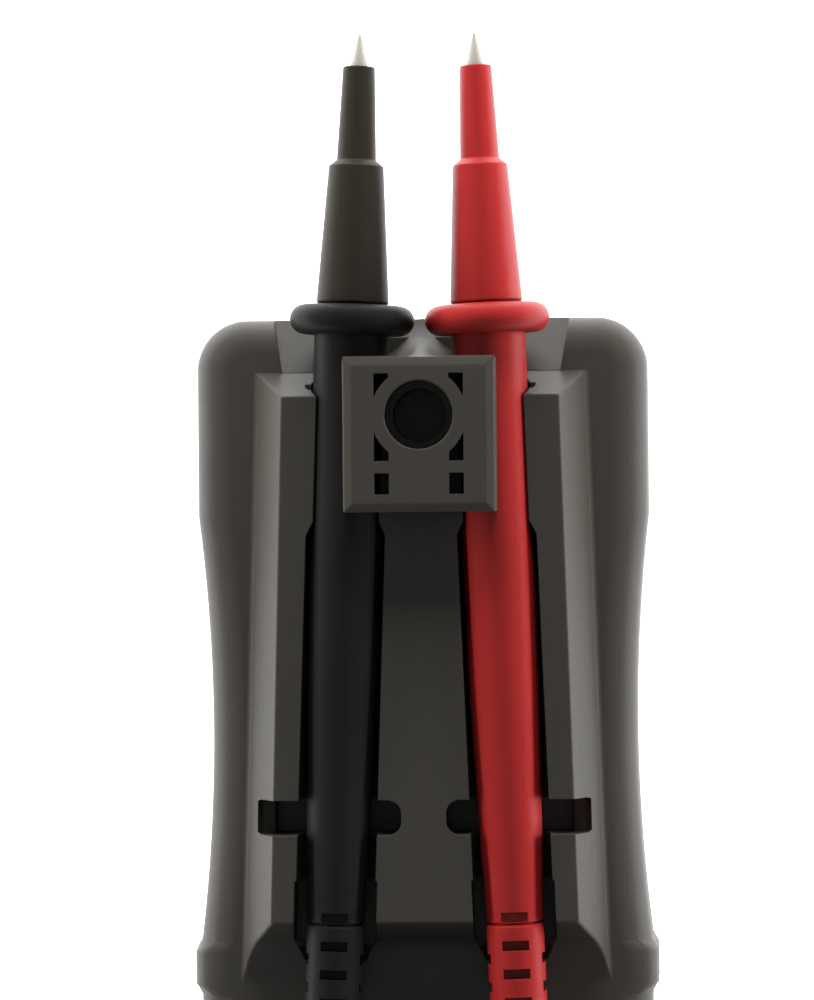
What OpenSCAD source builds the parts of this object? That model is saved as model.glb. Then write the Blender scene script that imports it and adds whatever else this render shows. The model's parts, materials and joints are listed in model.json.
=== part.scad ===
// Handheld voltage tester with two test probes docked in its back.
// It lies face down: +Z points out of its back, +Y towards the probe tips, +X towards the red probe.
// The origin is on the floor, under the middle of the whole length from housing foot to probe tips.

/* [Housing] */
// Length of the housing, without the probe tips
body_l = 176; // [170:1:184]
// Width of the head above the waist
head_w = 51.5; // [50:0.5:54]
// Length of the straight-sided head
head_l = 22.5; // [22:0.5:25]
// How far each side draws in at the waist
waist_depth = 1.5; // [0.5:0.1:2]
// Radius of the head's outline corners
head_corner_r = 6; // [4:0.5:7]
// Width of the grip just under the hand barrier
grip_w = 51.6; // [50:0.5:54]
// Width of the grip at its foot
grip_foot_w = 47; // [44:0.5:50]
// Radius of the foot's outline corners
foot_corner_r = 12; // [8:0.5:14]
// Height of the split between the front and rear shells
split_z = 15; // [14.5:0.5:16]
// Height of the shoulders and of the grip's back
back_z = 26; // [25.5:0.5:27]
// Rounding of the back edges
back_edge_r = 4; // [2.5:0.5:4.5]
// Rounding of the front edges
front_edge_r = 5; // [3:0.5:5.5]
// How far the walls lean in over their height
wall_draft = 0.3; // [0.1:0.1:0.6]
// Thickness of the shells' walls
wall = 2.2; // [2:0.1:2.6]
// Distance from the top edge to the hand barrier
barrier_t = 70.4; // [70:0.2:74]
// Length of the hand barrier along the housing
barrier_l = 6.1; // [5:0.1:7]
// Width across the hand barrier
barrier_w = 52.9; // [52.5:0.1:56]
// Chamfer of the barrier's edges
barrier_chamfer = 1.2; // [0.6:0.1:1.8]

/* [Dock platform] */
// Height of the raised platform that holds the probes
platform_z = 32; // [31.5:0.25:33]
// Distance from the top edge to the foot of the platform's upper slope
platform_t = 6.4; // [6:0.2:7]
// Length of the platform's upper slope
platform_top_slope = 2.8; // [2:0.2:4]
// Distance from the top edge to the end of the platform's flat top
platform_end_t = 67.6; // [66:0.2:68]
// Length of the platform's lower slope
platform_foot_slope = 4.3; // [3:0.1:5]
// Width of the flat top at its upper end
platform_top_w = 30.8; // [30:0.2:32]
// Width of the flat top at its lower end
platform_foot_w = 34.1; // [33:0.1:35]
// Width of each side slope at the upper end
side_slope_top = 3; // [2:0.1:3.6]
// Width of each side slope at the lower end
side_slope_foot = 3.5; // [2:0.1:3.9]
// Height of the ledge under the probe guards
ledge_z = 22; // [21.5:0.1:22.2]
// Distance from the top edge to the foot of the ledge's ramp
ledge_l = 2.8; // [2.7:0.1:3.4]
// Width of the ledge at the top edge
ledge_top_w = 33.6; // [32:0.2:35]
// Width of the ledge at the platform
ledge_foot_w = 31.2; // [30:0.2:32]
// Distance from the top edge to where the channels widen
widening_t = 23; // [22.8:0.2:26]
// Length of the tapered step where the channels widen
widening_l = 1.7; // [1:0.1:3]
// Width of the open part of each channel
channel_w = 8.8; // [8.8:0.05:9]
// Distance from the top edge to the relieved lower part of the channels
relief_t = 63; // [62:0.2:65]
// Width of the relieved lower part
relief_w = 9.2; // [9:0.1:9.6]
// Distance from the top edge to the end of the channels
channel_end_t = 70.6; // [70:0.1:71]
// Distance from the top edge to the middle of the cross slots
cross_slot_t = 56; // [50:0.5:58]
// Length of the cross slots along the housing
cross_slot_l = 3.9; // [3:0.1:5]
// Distance from the middle line to the inner end of a cross slot
cross_slot_inner = 2.5; // [2.2:0.1:3.2]
// Distance from the middle line to the outer end of a cross slot
cross_slot_outer = 18.9; // [18:0.1:19.2]
// Height of the cross slots' floor
cross_slot_z = 26.4; // [25.8:0.1:28]
// Wall round the pocket that lightens the platform's middle land
core_wall = 2; // [1.6:0.1:2.2]

/* [Dock block] */
// Width of the block over the probes, at its bevel
block_w = 16.8; // [16:0.1:18]
// Length of the block at its bevel
block_l = 17; // [16.4:0.1:18]
// Distance from the top edge to the block
block_t = 5.1; // [5:0.1:5.6]
// Height of the block's face
block_z = 37.5; // [37:0.25:39]
// Width and height of the bevel round the face
block_bevel = 0.9; // [0.5:0.1:1.2]
// How far each side wall leans out towards its foot
block_draft = 0.7; // [0.2:0.1:1]
// Radius of the round socket
socket_r = 3.75; // [3.5:0.05:3.9]
// Depth of the round socket
socket_depth = 5; // [4.5:0.25:5]
// Distance from the block's upper edge to the socket's middle
socket_t = 6.35; // [6:0.05:6.8]
// Radius of the small core hole below the socket
core_hole_r = 2.2; // [1.5:0.1:2.3]
// Depth of the small core hole in the housing
core_hole_depth = 5; // [2:0.5:5.5]
// Wall of the collar between the socket and the windows
collar_wall = 1.5; // [1.2:0.1:1.7]
// Width of the small windows
window_w = 1.6; // [1.2:0.1:1.8]
// Distance from the middle line to the windows' middle
window_x = 4.1; // [4:0.1:4.6]
// Length of the long window behind the collar
window_long = 9.6; // [9:0.1:10]
// Length of the short window
window_short = 2.3; // [1.6:0.1:2.6]
// Length of the web between the windows
window_web = 1.35; // [1:0.05:1.8]
// Distance from the block's upper edge to the long window
window_t = 1.8; // [1.6:0.1:2.2]
// Width of the saddle that runs down to the ledge between the probes
saddle_w = 8.8; // [7:0.2:9.4]
// Thickness of the block's locating tongues
tongue_t = 1.4; // [1:0.1:1.6]
// Width of the block's locating tongues
tongue_w = 4.4; // [3:0.2:4.6]
// How far the locating tongues reach into the housing
tongue_depth = 4; // [2:0.5:4.5]

/* [Probes] */
// Spacing of the docked probe tips, as the slots of a socket outlet
tip_spacing = 12.7; // [12.4:0.1:13.2]
// Lean of each docked probe towards the middle line
dock_angle = 2.1; // [1.9:0.05:2.2]
// Height of the docked probes' axes
probe_z = 29.5; // [29.4:0.05:29.8]
// Length of the bare metal point
point_l = 3.7; // [3:0.1:4]
// Radius of the metal pin
pin_r = 1; // [0.9:0.05:1.1]
// Length of the thin sleeve behind the point
sleeve_l = 10.4; // [8:0.2:12]
// Radius of the sleeve at its end
sleeve_tip_r = 1.78; // [1.7:0.02:1.9]
// Radius of the sleeve where it meets the cone
sleeve_base_r = 2.2; // [2.1:0.05:2.4]
// Length of the nose cone
cone_l = 16.2; // [14:0.2:18]
// Radius of the nose cone's shoulder
cone_tip_r = 3.06; // [2.8:0.02:3.3]
// Radius of the nose cone's base
cone_base_r = 4.05; // [3.8:0.05:4.2]
// Length of the step between the sleeve and the cone
shoulder_l = 0.7; // [0.4:0.1:1]
// Radius of the finger guard
guard_r = 6.85; // [6.5:0.05:6.9]
// Thickness of the finger guard
guard_l = 3.3; // [3:0.1:3.4]
// Distance from the top edge to the middle of the guards
guard_t = 0.7; // [0.5:0.05:0.8]
// Radius of the handle under the guard
handle_r = 4.18; // [4:0.02:4.2]
// Radius of the handle's belly
handle_belly_r = 4.05; // [3.9:0.05:4.15]
// Radius of the handle at its tail
handle_tail_r = 3.25; // [3.2:0.05:3.6]
// Length of the handle below the guard's middle
handle_l = 67.8; // [66:0.2:69]
// Radius of the strain relief
tail_r = 3.34; // [3.28:0.02:3.4]
// Radius of the strain relief at its end
tail_end_r = 2.7; // [2.6:0.05:3]
// Length of the strain relief
tail_l = 24.5; // [22:0.5:26]
// Radius of the strain relief's lead hole
lead_r = 1.85; // [1.6:0.05:1.9]
// Spacing of the strain relief's windows
tail_pitch = 3.15; // [3:0.05:3.5]
// Number of rings of windows in the strain relief
tail_rings = 6; // [3:1:6]
// Width of each window
tail_window_w = 2.9; // [2:0.1:3]
// Length of each window
tail_window_l = 1.1; // [0.8:0.1:1.4]
// Thickness of the web left inside the windows
tail_web = 0.45; // [0.35:0.05:0.6]
// Length of the strain relief's spigot in the handle
tail_spigot_l = 6; // [4:0.5:8]
// Radius of the handle's bore
core_r = 2.55; // [2.5:0.05:2.6]
// Radius of the nose's spigot
spigot_r = 2.4; // [2.2:0.05:2.4]
// Length of the nose's spigot
spigot_l = 8; // [6:0.5:10]
// Clearance between a probe and its dock
dock_gap = 0.22; // [0.2:0.01:0.3]

/* [Front panel] */
// Width of the display window
lens_w = 34; // [32:0.5:36]
// Length of the display window
lens_l = 36; // [34:0.5:36]
// Distance from the top edge to the display window
lens_t = 9; // [8.5:0.5:9]
// Thickness of the display window
lens_h = 1.4; // [1.2:0.1:1.6]
// How deep the display window is sunk
lens_sink = 0.4; // [0.2:0.1:0.6]
// Width of the ledge that carries the display window
lens_ledge = 1.5; // [1:0.1:2]
// Width of the display module
display_w = 28; // [26:0.5:29]
// Length of the display module
display_l = 15; // [13:0.5:16]
// Length of a lamp
lamp_l = 2; // [1.5:0.1:2.5]
// Width of a lamp
lamp_w = 3.4; // [3:0.1:4]
// Spacing of the lamps along the housing
lamp_pitch = 4.2; // [4:0.1:4.6]
// Distance from the middle line to each lamp column
lamp_x = 9; // [8:0.5:11]
// Number of lamps in each column
lamp_rows = 4; // [2:1:4]
// Width of a button
button_w = 11; // [9:0.5:12]
// Length of a button
button_l = 7.5; // [6:0.5:8]
// Distance from the middle line to each button
button_x = 8.5; // [8:0.5:9]
// Distance from the top edge to the buttons
button_t = 62; // [61:0.5:63]
// Travel of a button
button_travel = 0.8; // [0.5:0.1:0.9]
// How deep the buttons are sunk
button_sink = 0.5; // [0.3:0.1:0.8]
// Gap round a button
button_gap = 0.2; // [0.15:0.05:0.3]
// Thickness of a button's retaining rim
button_rim = 0.8; // [0.6:0.1:0.9]
// Wall of the rubber keypad
keypad_wall = 1; // [0.8:0.1:1.2]
// Number of grip grooves in the front of the grip
groove_count = 9; // [4:1:9]
// Spacing of the grip grooves
groove_pitch = 6; // [5:0.5:6.5]
// Width of a grip groove
groove_w = 1.6; // [1:0.1:2]
// Depth of a grip groove
groove_depth = 0.7; // [0.4:0.1:0.9]
// Length of a grip groove across the housing
groove_l = 30; // [24:1:34]

/* [Battery bay] */
// Radius of a cell
cell_r = 5.25; // [5:0.05:5.3]
// Room for the contacts at the two ends of a cell
contact_room = 6.5; // [5.5:0.5:7.5]
// Distance from the top edge to the foot end of the battery bay
bay_foot_t = 159; // [157:0.5:160]
// Length of the bay
bay_l = 51; // [50:0.5:52]
// Width of the bay
bay_w = 26; // [26:0.5:28]
// Height of the bay's floor
bay_z = 13; // [12.8:0.1:13.2]
// Thickness of the bay's walls
bay_wall = 1.2; // [1:0.1:1.5]
// Width of the rim that carries the battery door
door_rim = 2; // [1.5:0.1:2.5]
// Thickness of the battery door
door_h = 2; // [1.8:0.1:2.2]
// Length of the screw land above the bay
door_land = 9; // [8:0.5:10]
// Gap round the battery door
door_gap = 0.2; // [0.15:0.05:0.3]
// Thickness of the contact plates
contact_h = 0.5; // [0.4:0.05:0.6]
// Height of the finger ribs on the battery door
door_rib_h = 0.4; // [0.2:0.05:0.6]
// Number of finger ribs on the battery door
door_ribs = 5; // [3:1:6]

/* [Electronics] */
// Height of the circuit board's front face
board_z = 8; // [7.8:0.1:8.4]
// Thickness of the circuit board
board_h = 1.6; // [1.4:0.1:1.8]
// Width of the circuit board
board_w = 40; // [38:0.5:41]
// Length of the circuit board
board_l = 152; // [148:1:152]
// Distance from the top edge to the circuit board
board_t = 7; // [7:0.5:8]
// Distance from the top edge to the upper board screws
board_screw_t = 50; // [49.5:0.5:52]
// Length of the main chip
chip_l = 10; // [8:0.5:12]
// Height of the main chip
chip_h = 1.4; // [1:0.1:1.8]
// Distance from the top edge to the chips
chip_t = 32; // [28:0.5:33]
// Distance from the top edge to the buzzer
buzzer_t = 18; // [16:0.5:20]
// Radius of the buzzer
buzzer_r = 7; // [6:0.25:7.5]
// Height of the buzzer
buzzer_h = 5.5; // [4:0.25:6]
// Radius of an input disc
disc_r = 4.5; // [4:0.25:5]
// Thickness of an input disc
disc_h = 3; // [2:0.25:3.5]
// Height of an input disc's legs above the board
disc_stand = 1; // [0.5:0.1:1.5]
// Distance from the top edge to the input parts
input_t = 80; // [78:1:86]
// Radius of an input resistor
resistor_r = 1.6; // [1.2:0.1:1.8]
// Length of an input resistor
resistor_l = 9; // [8:0.5:10]
// Number of input resistors
resistor_count = 4; // [2:1:4]

/* [Fasteners and seals] */
// Radius of a housing screw's shank
screw_r = 1.4; // [1.2:0.05:1.5]
// Length of a housing screw's shank
screw_l = 14; // [12:0.5:14.5]
// Radius of a screw's head
head_r = 2.6; // [2.4:0.05:2.7]
// Height of a housing screw's head
head_h = 1.8; // [1.5:0.1:2]
// Length of the battery door screw's shank
door_screw_l = 8; // [6:0.5:9]
// Height of the battery door screw's head
door_head_h = 1.1; // [0.9:0.1:1.2]
// Clearance of a screw's thread in its boss
thread_gap = 0.05; // [0.03:0.01:0.08]
// Wall of a screw boss
boss_wall = 2.2; // [1.8:0.1:2.3]
// Clearance round screws, pins and plugs
fit_gap = 0.12; // [0.1:0.01:0.15]
// Distance from the foot of the housing to the lower screws
foot_screw_y = 8; // [7:0.25:8.5]
// Distance from the middle line to the lower screws
foot_screw_x = 15.5; // [15:0.25:17]
// Distance from the top edge to the upper screws
top_screw_t = 50; // [49.5:0.5:50.5]
// Width of the seal between the shells
seal_w = 0.9; // [0.7:0.05:1]
// Depth of the seal's groove
seal_h = 1; // [0.8:0.1:1.2]
// Outer radius of a lead gland
gland_r = 3.6; // [3.4:0.05:3.8]
// Radius of a lead gland's inner flange
gland_flange_r = 4.6; // [4.5:0.05:4.8]
// Length of a lead gland
gland_l = 7; // [6:0.5:8]
// Distance from the middle line to each lead gland
gland_x = 6; // [5.5:0.25:7]

/* [Hidden] */
$fn = 96;
over = 1;
bite = 0.5;
corner_steps = 8;
waist_steps = 12;
edge_steps = 6;

pin_reach_l = point_l + sleeve_l + cone_l + guard_l / 2;
tip_reach = pin_reach_l - guard_t;
total_l = body_l + tip_reach;
top_y = total_l / 2 - tip_reach;
foot_y = -total_l / 2;
guard_x = tip_spacing / 2 + sin(dock_angle) * pin_reach_l;
guard_y = top_y - guard_t;
waist_l = barrier_t - head_l;
barrier_y = top_y - barrier_t;
channel_r = handle_r + dock_gap;
channel_z = probe_z - channel_r;
ceiling_z = channel_z - wall * 0.8;
inner_back_z = back_z - wall;
ledge_ceiling_z = ledge_z - wall;
floor_z = wall;
lens_back_z = lens_sink + lens_h;
frame_h = 0.8;
bay_t = bay_foot_t - bay_l;
cell_l = bay_l - contact_room;
cell_spacing = bay_w / 2;
door_t = bay_t - door_rim - door_land;
door_l = bay_l + door_land + 2 * door_rim;
door_w = bay_w + 2 * door_rim;
door_screw_t = door_t + door_land / 2 + door_rim / 2;
head_seat_z = ceiling_z - boss_wall / 2;
boss_r = screw_r + boss_wall;
boss_top_z = head_seat_z - screw_l + 6 * screw_r;
block_socket_y = top_y - block_t - socket_t;
gland_z = split_z;
top_screw_x = axis_at(top_screw_t);

housing_grey = [0.33, 0.32, 0.30];
probe_black = [0.13, 0.13, 0.13];
probe_red = [0.72, 0.13, 0.12];
metal = [0.8, 0.8, 0.78];

// Distance of a docked probe's axis from the middle line, at a distance t below the top edge
function axis_at(t) = guard_x + tan(dock_angle) * (t - guard_t);

// Half outline of the housing, from the top middle down the right side to the foot, drawn in by inset
function side_points(inset) = concat(
    [for (i = [0 : corner_steps]) let (a = 90 - 90 * i / corner_steps)
        [head_w / 2 - head_corner_r + (head_corner_r - inset) * cos(a),
         top_y - head_corner_r + (head_corner_r - inset) * sin(a)]],
    [for (i = [0 : waist_steps]) let (s = i / waist_steps, u = 2 * s - 1)
        [head_w / 2 + (grip_w - head_w) / 2 * s - waist_depth * (1 - u * u) - inset,
         top_y - head_l - waist_l * s]],
    [[barrier_w / 2 - inset, barrier_y - barrier_chamfer],
     [barrier_w / 2 - inset, barrier_y - barrier_l + barrier_chamfer],
     [grip_w / 2 - inset, barrier_y - barrier_l]],
    [for (i = [0 : corner_steps]) let (a = -90 * i / corner_steps)
        [grip_foot_w / 2 - foot_corner_r + (foot_corner_r - inset) * cos(a),
         foot_y + foot_corner_r + (foot_corner_r - inset) * sin(a)]]
);

// The right side followed by its mirror image, as one closed outline
function outline_points(inset) = let (side = side_points(inset), n = len(side)) concat(
    [for (i = [n - 1 : -1 : 0]) side[i]],
    [for (i = [0 : n - 1]) [-side[i][0], side[i][1]]]
);

// Height and inset of each level of a shell: a leaning wall, then a rounded edge of radius r
function rear_levels() = concat([[split_z, 0]],
    [for (i = [0 : edge_steps]) let (a = 90 * i / edge_steps)
        [back_z - back_edge_r + back_edge_r * sin(a), wall_draft + back_edge_r * (1 - cos(a))]]);
function front_levels() = concat([for (i = [edge_steps : -1 : 0]) let (a = 90 * i / edge_steps)
        [front_edge_r * (1 - sin(a)), wall_draft + front_edge_r * (1 - cos(a))]], [[split_z, 0]]);

// A closed skin through rings of equal length, listed from the lowest to the highest
module skin(rings) {
    n = len(rings[0]);
    m = len(rings);
    points = [for (r = rings) each r];
    faces = concat(
        [[for (i = [0 : n - 1]) i]],
        [for (k = [0 : m - 2]) for (i = [0 : n - 1]) let (j = (i + 1) % n)
            [k * n + i, (k + 1) * n + i, (k + 1) * n + j]],
        [for (k = [0 : m - 2]) for (i = [0 : n - 1]) let (j = (i + 1) % n)
            [k * n + i, (k + 1) * n + j, k * n + j]],
        [[for (i = [n - 1 : -1 : 0]) (m - 1) * n + i]]
    );
    polyhedron(points, faces, convexity = 6);
}

// The skin runs on past its two ends and is cut flat there
module shell_form(levels) {
    low = levels[0];
    high = levels[len(levels) - 1];
    rows = concat([[low[0] - over, low[1]]], levels, [[high[0] + over, high[1]]]);
    intersection() {
        skin([for (v = rows) [for (p = outline_points(v[1])) [p[0], p[1], v[0]]]]);
        slab(barrier_w + 2 * over, -over, body_l + over, low[0], high[0]);
    }
}

// A box that runs from t0 to t1 below the top edge
module slab(w, t0, t1, z0, z1) {
    translate([-w / 2, top_y - t1, z0]) cube([w, t1 - t0, z1 - z0]);
}

// Places its children at x from the middle line and t below the top edge
module at(x, t, z = 0) {
    translate([x, top_y - t, z]) children();
}

module both_sides() {
    children();
    mirror([1, 0, 0]) children();
}

// An outline in distance below the top edge and height, drawn out across the housing
module across(w, points) {
    translate([-w / 2, 0, 0]) rotate([90, 0, 90])
        linear_extrude(w) polygon([for (p = points) [top_y - p[0], p[1]]]);
}

module platform() {
    t0 = platform_t;
    t1 = platform_t + platform_top_slope;
    t2 = platform_end_t;
    t3 = platform_end_t + platform_foot_slope;
    a = platform_top_w / 2;
    b = platform_foot_w / 2;
    low_z = back_z - over;
    grow = over / (platform_z - back_z);
    low = [
        [b + side_slope_foot * (1 + grow), top_y - t3 - platform_foot_slope * grow],
        [a + side_slope_top * (1 + grow), top_y - t0 + platform_top_slope * grow]
    ];
    high = [[b, top_y - t2], [a, top_y - t1]];
    skin([
        [[low[0][0], low[0][1], low_z], [low[1][0], low[1][1], low_z],
         [-low[1][0], low[1][1], low_z], [-low[0][0], low[0][1], low_z]],
        [[high[0][0], high[0][1], platform_z], [high[1][0], high[1][1], platform_z],
         [-high[1][0], high[1][1], platform_z], [-high[0][0], high[0][1], platform_z]]
    ]);
}

// The ledge and ramp under the probe guards, as the space above them
module ledge_space() {
    intersection() {
        across(ledge_top_w, [[-over, ledge_z], [ledge_l, ledge_z], [platform_t, back_z],
                             [platform_t, block_z], [-over, block_z]]);
        translate([0, 0, ledge_z - over]) linear_extrude(block_z) polygon([
            [-ledge_top_w / 2, top_y + over], [ledge_top_w / 2, top_y + over],
            [ledge_foot_w / 2, top_y - platform_t], [-ledge_foot_w / 2, top_y - platform_t]]);
    }
}

// Puts its children on the red probe's axis, with their Z along it towards the tip
module on_red_axis() {
    translate([guard_x, guard_y, probe_z]) rotate([0, 0, dock_angle]) rotate([-90, 0, 0]) children();
}

// The room that a docked probe needs in the housing, on the red side
module channel_space() {
    run_l = platform_end_t + platform_foot_slope + bite;
    on_red_axis() translate([0, 0, guard_t - run_l]) cylinder(r = channel_r, h = run_l + over);
    slot_h = block_z - probe_z;
    t1 = widening_t + widening_l;
    translate([0, 0, probe_z]) linear_extrude(slot_h) polygon([
        [axis_at(widening_t) - channel_r * 0.82, top_y - widening_t],
        [axis_at(widening_t) + channel_r * 0.82, top_y - widening_t],
        [axis_at(t1) + channel_w / 2, top_y - t1],
        [axis_at(channel_end_t) + channel_w / 2, top_y - channel_end_t],
        [axis_at(channel_end_t) - channel_w / 2, top_y - channel_end_t],
        [axis_at(t1) - channel_w / 2, top_y - t1]]);
    translate([0, 0, channel_z + back_z - ceiling_z - wall]) linear_extrude(block_z) polygon([
        [axis_at(relief_t) - relief_w / 2, top_y - relief_t],
        [axis_at(relief_t) + relief_w / 2, top_y - relief_t],
        [axis_at(channel_end_t) + relief_w / 2, top_y - channel_end_t + relief_w / 8],
        [axis_at(channel_end_t) + relief_w / 3, top_y - channel_end_t],
        [axis_at(channel_end_t) - relief_w / 3, top_y - channel_end_t],
        [axis_at(channel_end_t) - relief_w / 2, top_y - channel_end_t + relief_w / 8]]);
}

// A slot across the red channel, with a round inner end and a sloping outer end
module cross_slot() {
    r = cross_slot_l / 2;
    ramp = cross_slot_l / 2;
    at(0, cross_slot_t) {
        translate([cross_slot_inner + r, 0, cross_slot_z]) cylinder(r = r, h = block_z);
        rotate([90, 0, 0]) translate([0, 0, -r]) linear_extrude(cross_slot_l) polygon([
            [cross_slot_inner + r, cross_slot_z], [cross_slot_outer - ramp, cross_slot_z],
            [cross_slot_outer, cross_slot_z + ramp], [cross_slot_outer, block_z],
            [cross_slot_inner + r, block_z]]);
    }
}

// A pocket inside the platform's middle land
module platform_core() {
    t0 = widening_t + core_wall;
    t1 = cross_slot_t - cross_slot_l;
    slab(2 * (axis_at(t0) - channel_w / 2 - core_wall), t0, t1, split_z, platform_z - core_wall);
}

module screw_places() {
    both_sides() at(top_screw_x, top_screw_t) children();
    both_sides() translate([foot_screw_x, foot_y + foot_screw_y, 0]) children();
}

module board_screw_places() {
    x = board_w / 2 - 2.2 * screw_r;
    both_sides() at(x, board_screw_t) children();
    both_sides() at(x, bay_t - 2.5 * screw_r) children();
}

// A lead gland's outline, grown for its seat, with a lead-in of the given length
module gland_form(grow, lead_in) {
    rotate([-90, 0, 0]) {
        translate([0, 0, -lead_in]) cylinder(r = gland_r + grow, h = gland_l + lead_in);
        translate([0, 0, wall - grow]) cylinder(r = gland_flange_r + grow, h = gland_l - wall - bite + 2 * grow);
    }
}

module gland_places() {
    both_sides() translate([gland_x, foot_y, gland_z]) children();
}

module gland_clamps(z0, z1) {
    slack = bite + fit_gap;
    both_sides() translate([gland_x - gland_flange_r - slack, foot_y + wall - bite, z0])
        cube([2 * (gland_flange_r + slack), gland_l + slack - wall + bite, z1 - z0]);
}

module shell_cavity(z0, z1) {
    translate([0, 0, z0]) linear_extrude(z1 - z0) polygon(outline_points(wall));
}

// The seal's path in the front shell's rim, which stops at the lead glands
module seal_ring(h) {
    inset = (wall - seal_w) / 2;
    difference() {
        translate([0, 0, split_z - seal_h]) linear_extrude(h) difference() {
            polygon(outline_points(inset));
            polygon(outline_points(inset + seal_w));
        }
        both_sides() translate([gland_x - gland_r - fit_gap, foot_y - over, split_z - seal_h - over])
            cube([2 * (gland_r + fit_gap), wall + over, h + 2 * over]);
    }
}

// What stands on the front shell's inner face: window frame, screw bosses and gland clamps
module front_bosses() {
    slab(lens_w + 2 * frame_h, lens_t - frame_h, lens_t + lens_l + frame_h,
         floor_z - bite, floor_z + frame_h);
    screw_places() translate([0, 0, floor_z - bite])
        cylinder(r = boss_r, h = boss_top_z - floor_z + bite);
    board_screw_places() translate([0, 0, floor_z - bite])
        cylinder(r = 2 * screw_r, h = board_z - floor_z + bite);
    gland_clamps(floor_z, split_z);
}

module front_panel_holes() {
    slab(lens_w + 2 * fit_gap, lens_t - fit_gap, lens_t + lens_l + fit_gap, -over, lens_back_z);
    slab(lens_w - 2 * lens_ledge, lens_t + lens_ledge, lens_t + lens_l - lens_ledge,
         -over, floor_z + frame_h + over);
    for (x = [-button_x, button_x]) at(x, button_t, -over)
        button_outline(button_gap, floor_z + 2 * over);
    for (i = [0 : groove_count - 1])
        slab(groove_l, barrier_t + barrier_l + groove_pitch * (i + 1),
             barrier_t + barrier_l + groove_pitch * (i + 1) + groove_w, -over, groove_depth);
}

module front_housing() {
    color(housing_grey) difference() {
        union() {
            difference() {
                shell_form(front_levels());
                shell_cavity(floor_z, split_z + over);
            }
            front_bosses();
        }
        front_panel_holes();
        screw_places() translate([0, 0, floor_z])
            cylinder(r = screw_r + thread_gap, h = block_z);
        board_screw_places() translate([0, 0, floor_z])
            cylinder(r = screw_r / 2 + thread_gap, h = block_z);
        gland_places() gland_form(fit_gap / 2, over);
        seal_ring(seal_h + over);
    }
}

// What stands inside the rear shell: screw bosses, battery bay, door ledge and gland clamps
module rear_bosses() {
    screw_places() translate([0, 0, boss_top_z + fit_gap])
        cylinder(r = head_r + boss_wall, h = ceiling_z + bite - boss_top_z - fit_gap);
    slab(bay_w + 2 * bay_wall, bay_t - bay_wall, bay_foot_t + bay_wall,
         bay_z - bay_wall, ceiling_z + bite);
    at(0, door_screw_t, bay_z) cylinder(r = boss_r, h = ceiling_z + bite - bay_z);
    slab(door_w + 2 * bay_wall, door_t - bay_wall, door_t + door_l + bay_wall,
         back_z - door_h - bay_wall, ceiling_z + bite);
    gland_clamps(split_z, ceiling_z + bite);
}

// The hollow inside the rear shell, lower under the ledge and higher inside the middle land
module rear_hollow() {
    difference() {
        shell_cavity(split_z - over, ceiling_z);
        slab(head_w, 0, platform_t + platform_top_slope, ledge_ceiling_z, block_z);
    }
    platform_core();
}

module rear_form() {
    difference() {
        shell_form(rear_levels());
        ledge_space();
    }
    platform();
    pedestal();
}

// The places that the probes and the dock block take in the rear shell
module dock_spaces() {
    both_sides() channel_space();
    both_sides() cross_slot();
    block_tongues(fit_gap);
    slab(saddle_w + 2 * fit_gap, -over, block_t, ledge_z, back_z + over);
    translate([0, block_socket_y, platform_z - core_hole_depth])
        cylinder(r = core_hole_r, h = core_hole_depth + over);
}

module rear_housing() {
    color(housing_grey) difference() {
        union() {
            difference() {
                rear_form();
                rear_hollow();
            }
            rear_bosses();
        }
        dock_spaces();
        screw_places() {
            cylinder(r = screw_r + fit_gap, h = back_z);
            translate([0, 0, head_seat_z]) cylinder(r = head_r + fit_gap, h = block_z);
        }
        slab(bay_w, bay_t, bay_foot_t, bay_z, block_z);
        door_form(door_gap, door_h + over);
        at(0, door_screw_t, bay_z + bite) cylinder(r = screw_r + thread_gap, h = back_z);
        gland_places() gland_form(fit_gap / 2, over);
    }
}

// The part of the middle land that carries the block past the platform's upper slope
module pedestal() {
    w = 2 * (axis_at(block_t) - channel_r) + channel_r / 2;
    slab(w, block_t, platform_t + 2 * platform_top_slope, ledge_z - bite, platform_z);
}

module block_tongues(grow) {
    for (t = [block_t + block_bevel + tongue_t, block_t + block_l - block_bevel - 2 * tongue_t])
        translate([-tongue_w / 2 - grow, top_y - t - tongue_t / 2 - grow, platform_z - tongue_depth - grow])
            cube([tongue_w + 2 * grow, tongue_t + 2 * grow, tongue_depth + 2 * grow]);
}

module block_window(t0, l) {
    at(window_x, 0) translate([-window_w / 2, -t0 - l, platform_z - over])
        cube([window_w, l, block_z]);
}

// Shares of the saddle's length and height, from the top edge to the block's bevel
saddle_shares = [[0.04, 0], [0.04, 0.03], [0.3, 0.04], [0.48, 0.07], [0.62, 0.16],
                 [0.75, 0.33], [0.86, 0.56], [0.95, 0.8], [1, 1]];

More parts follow.
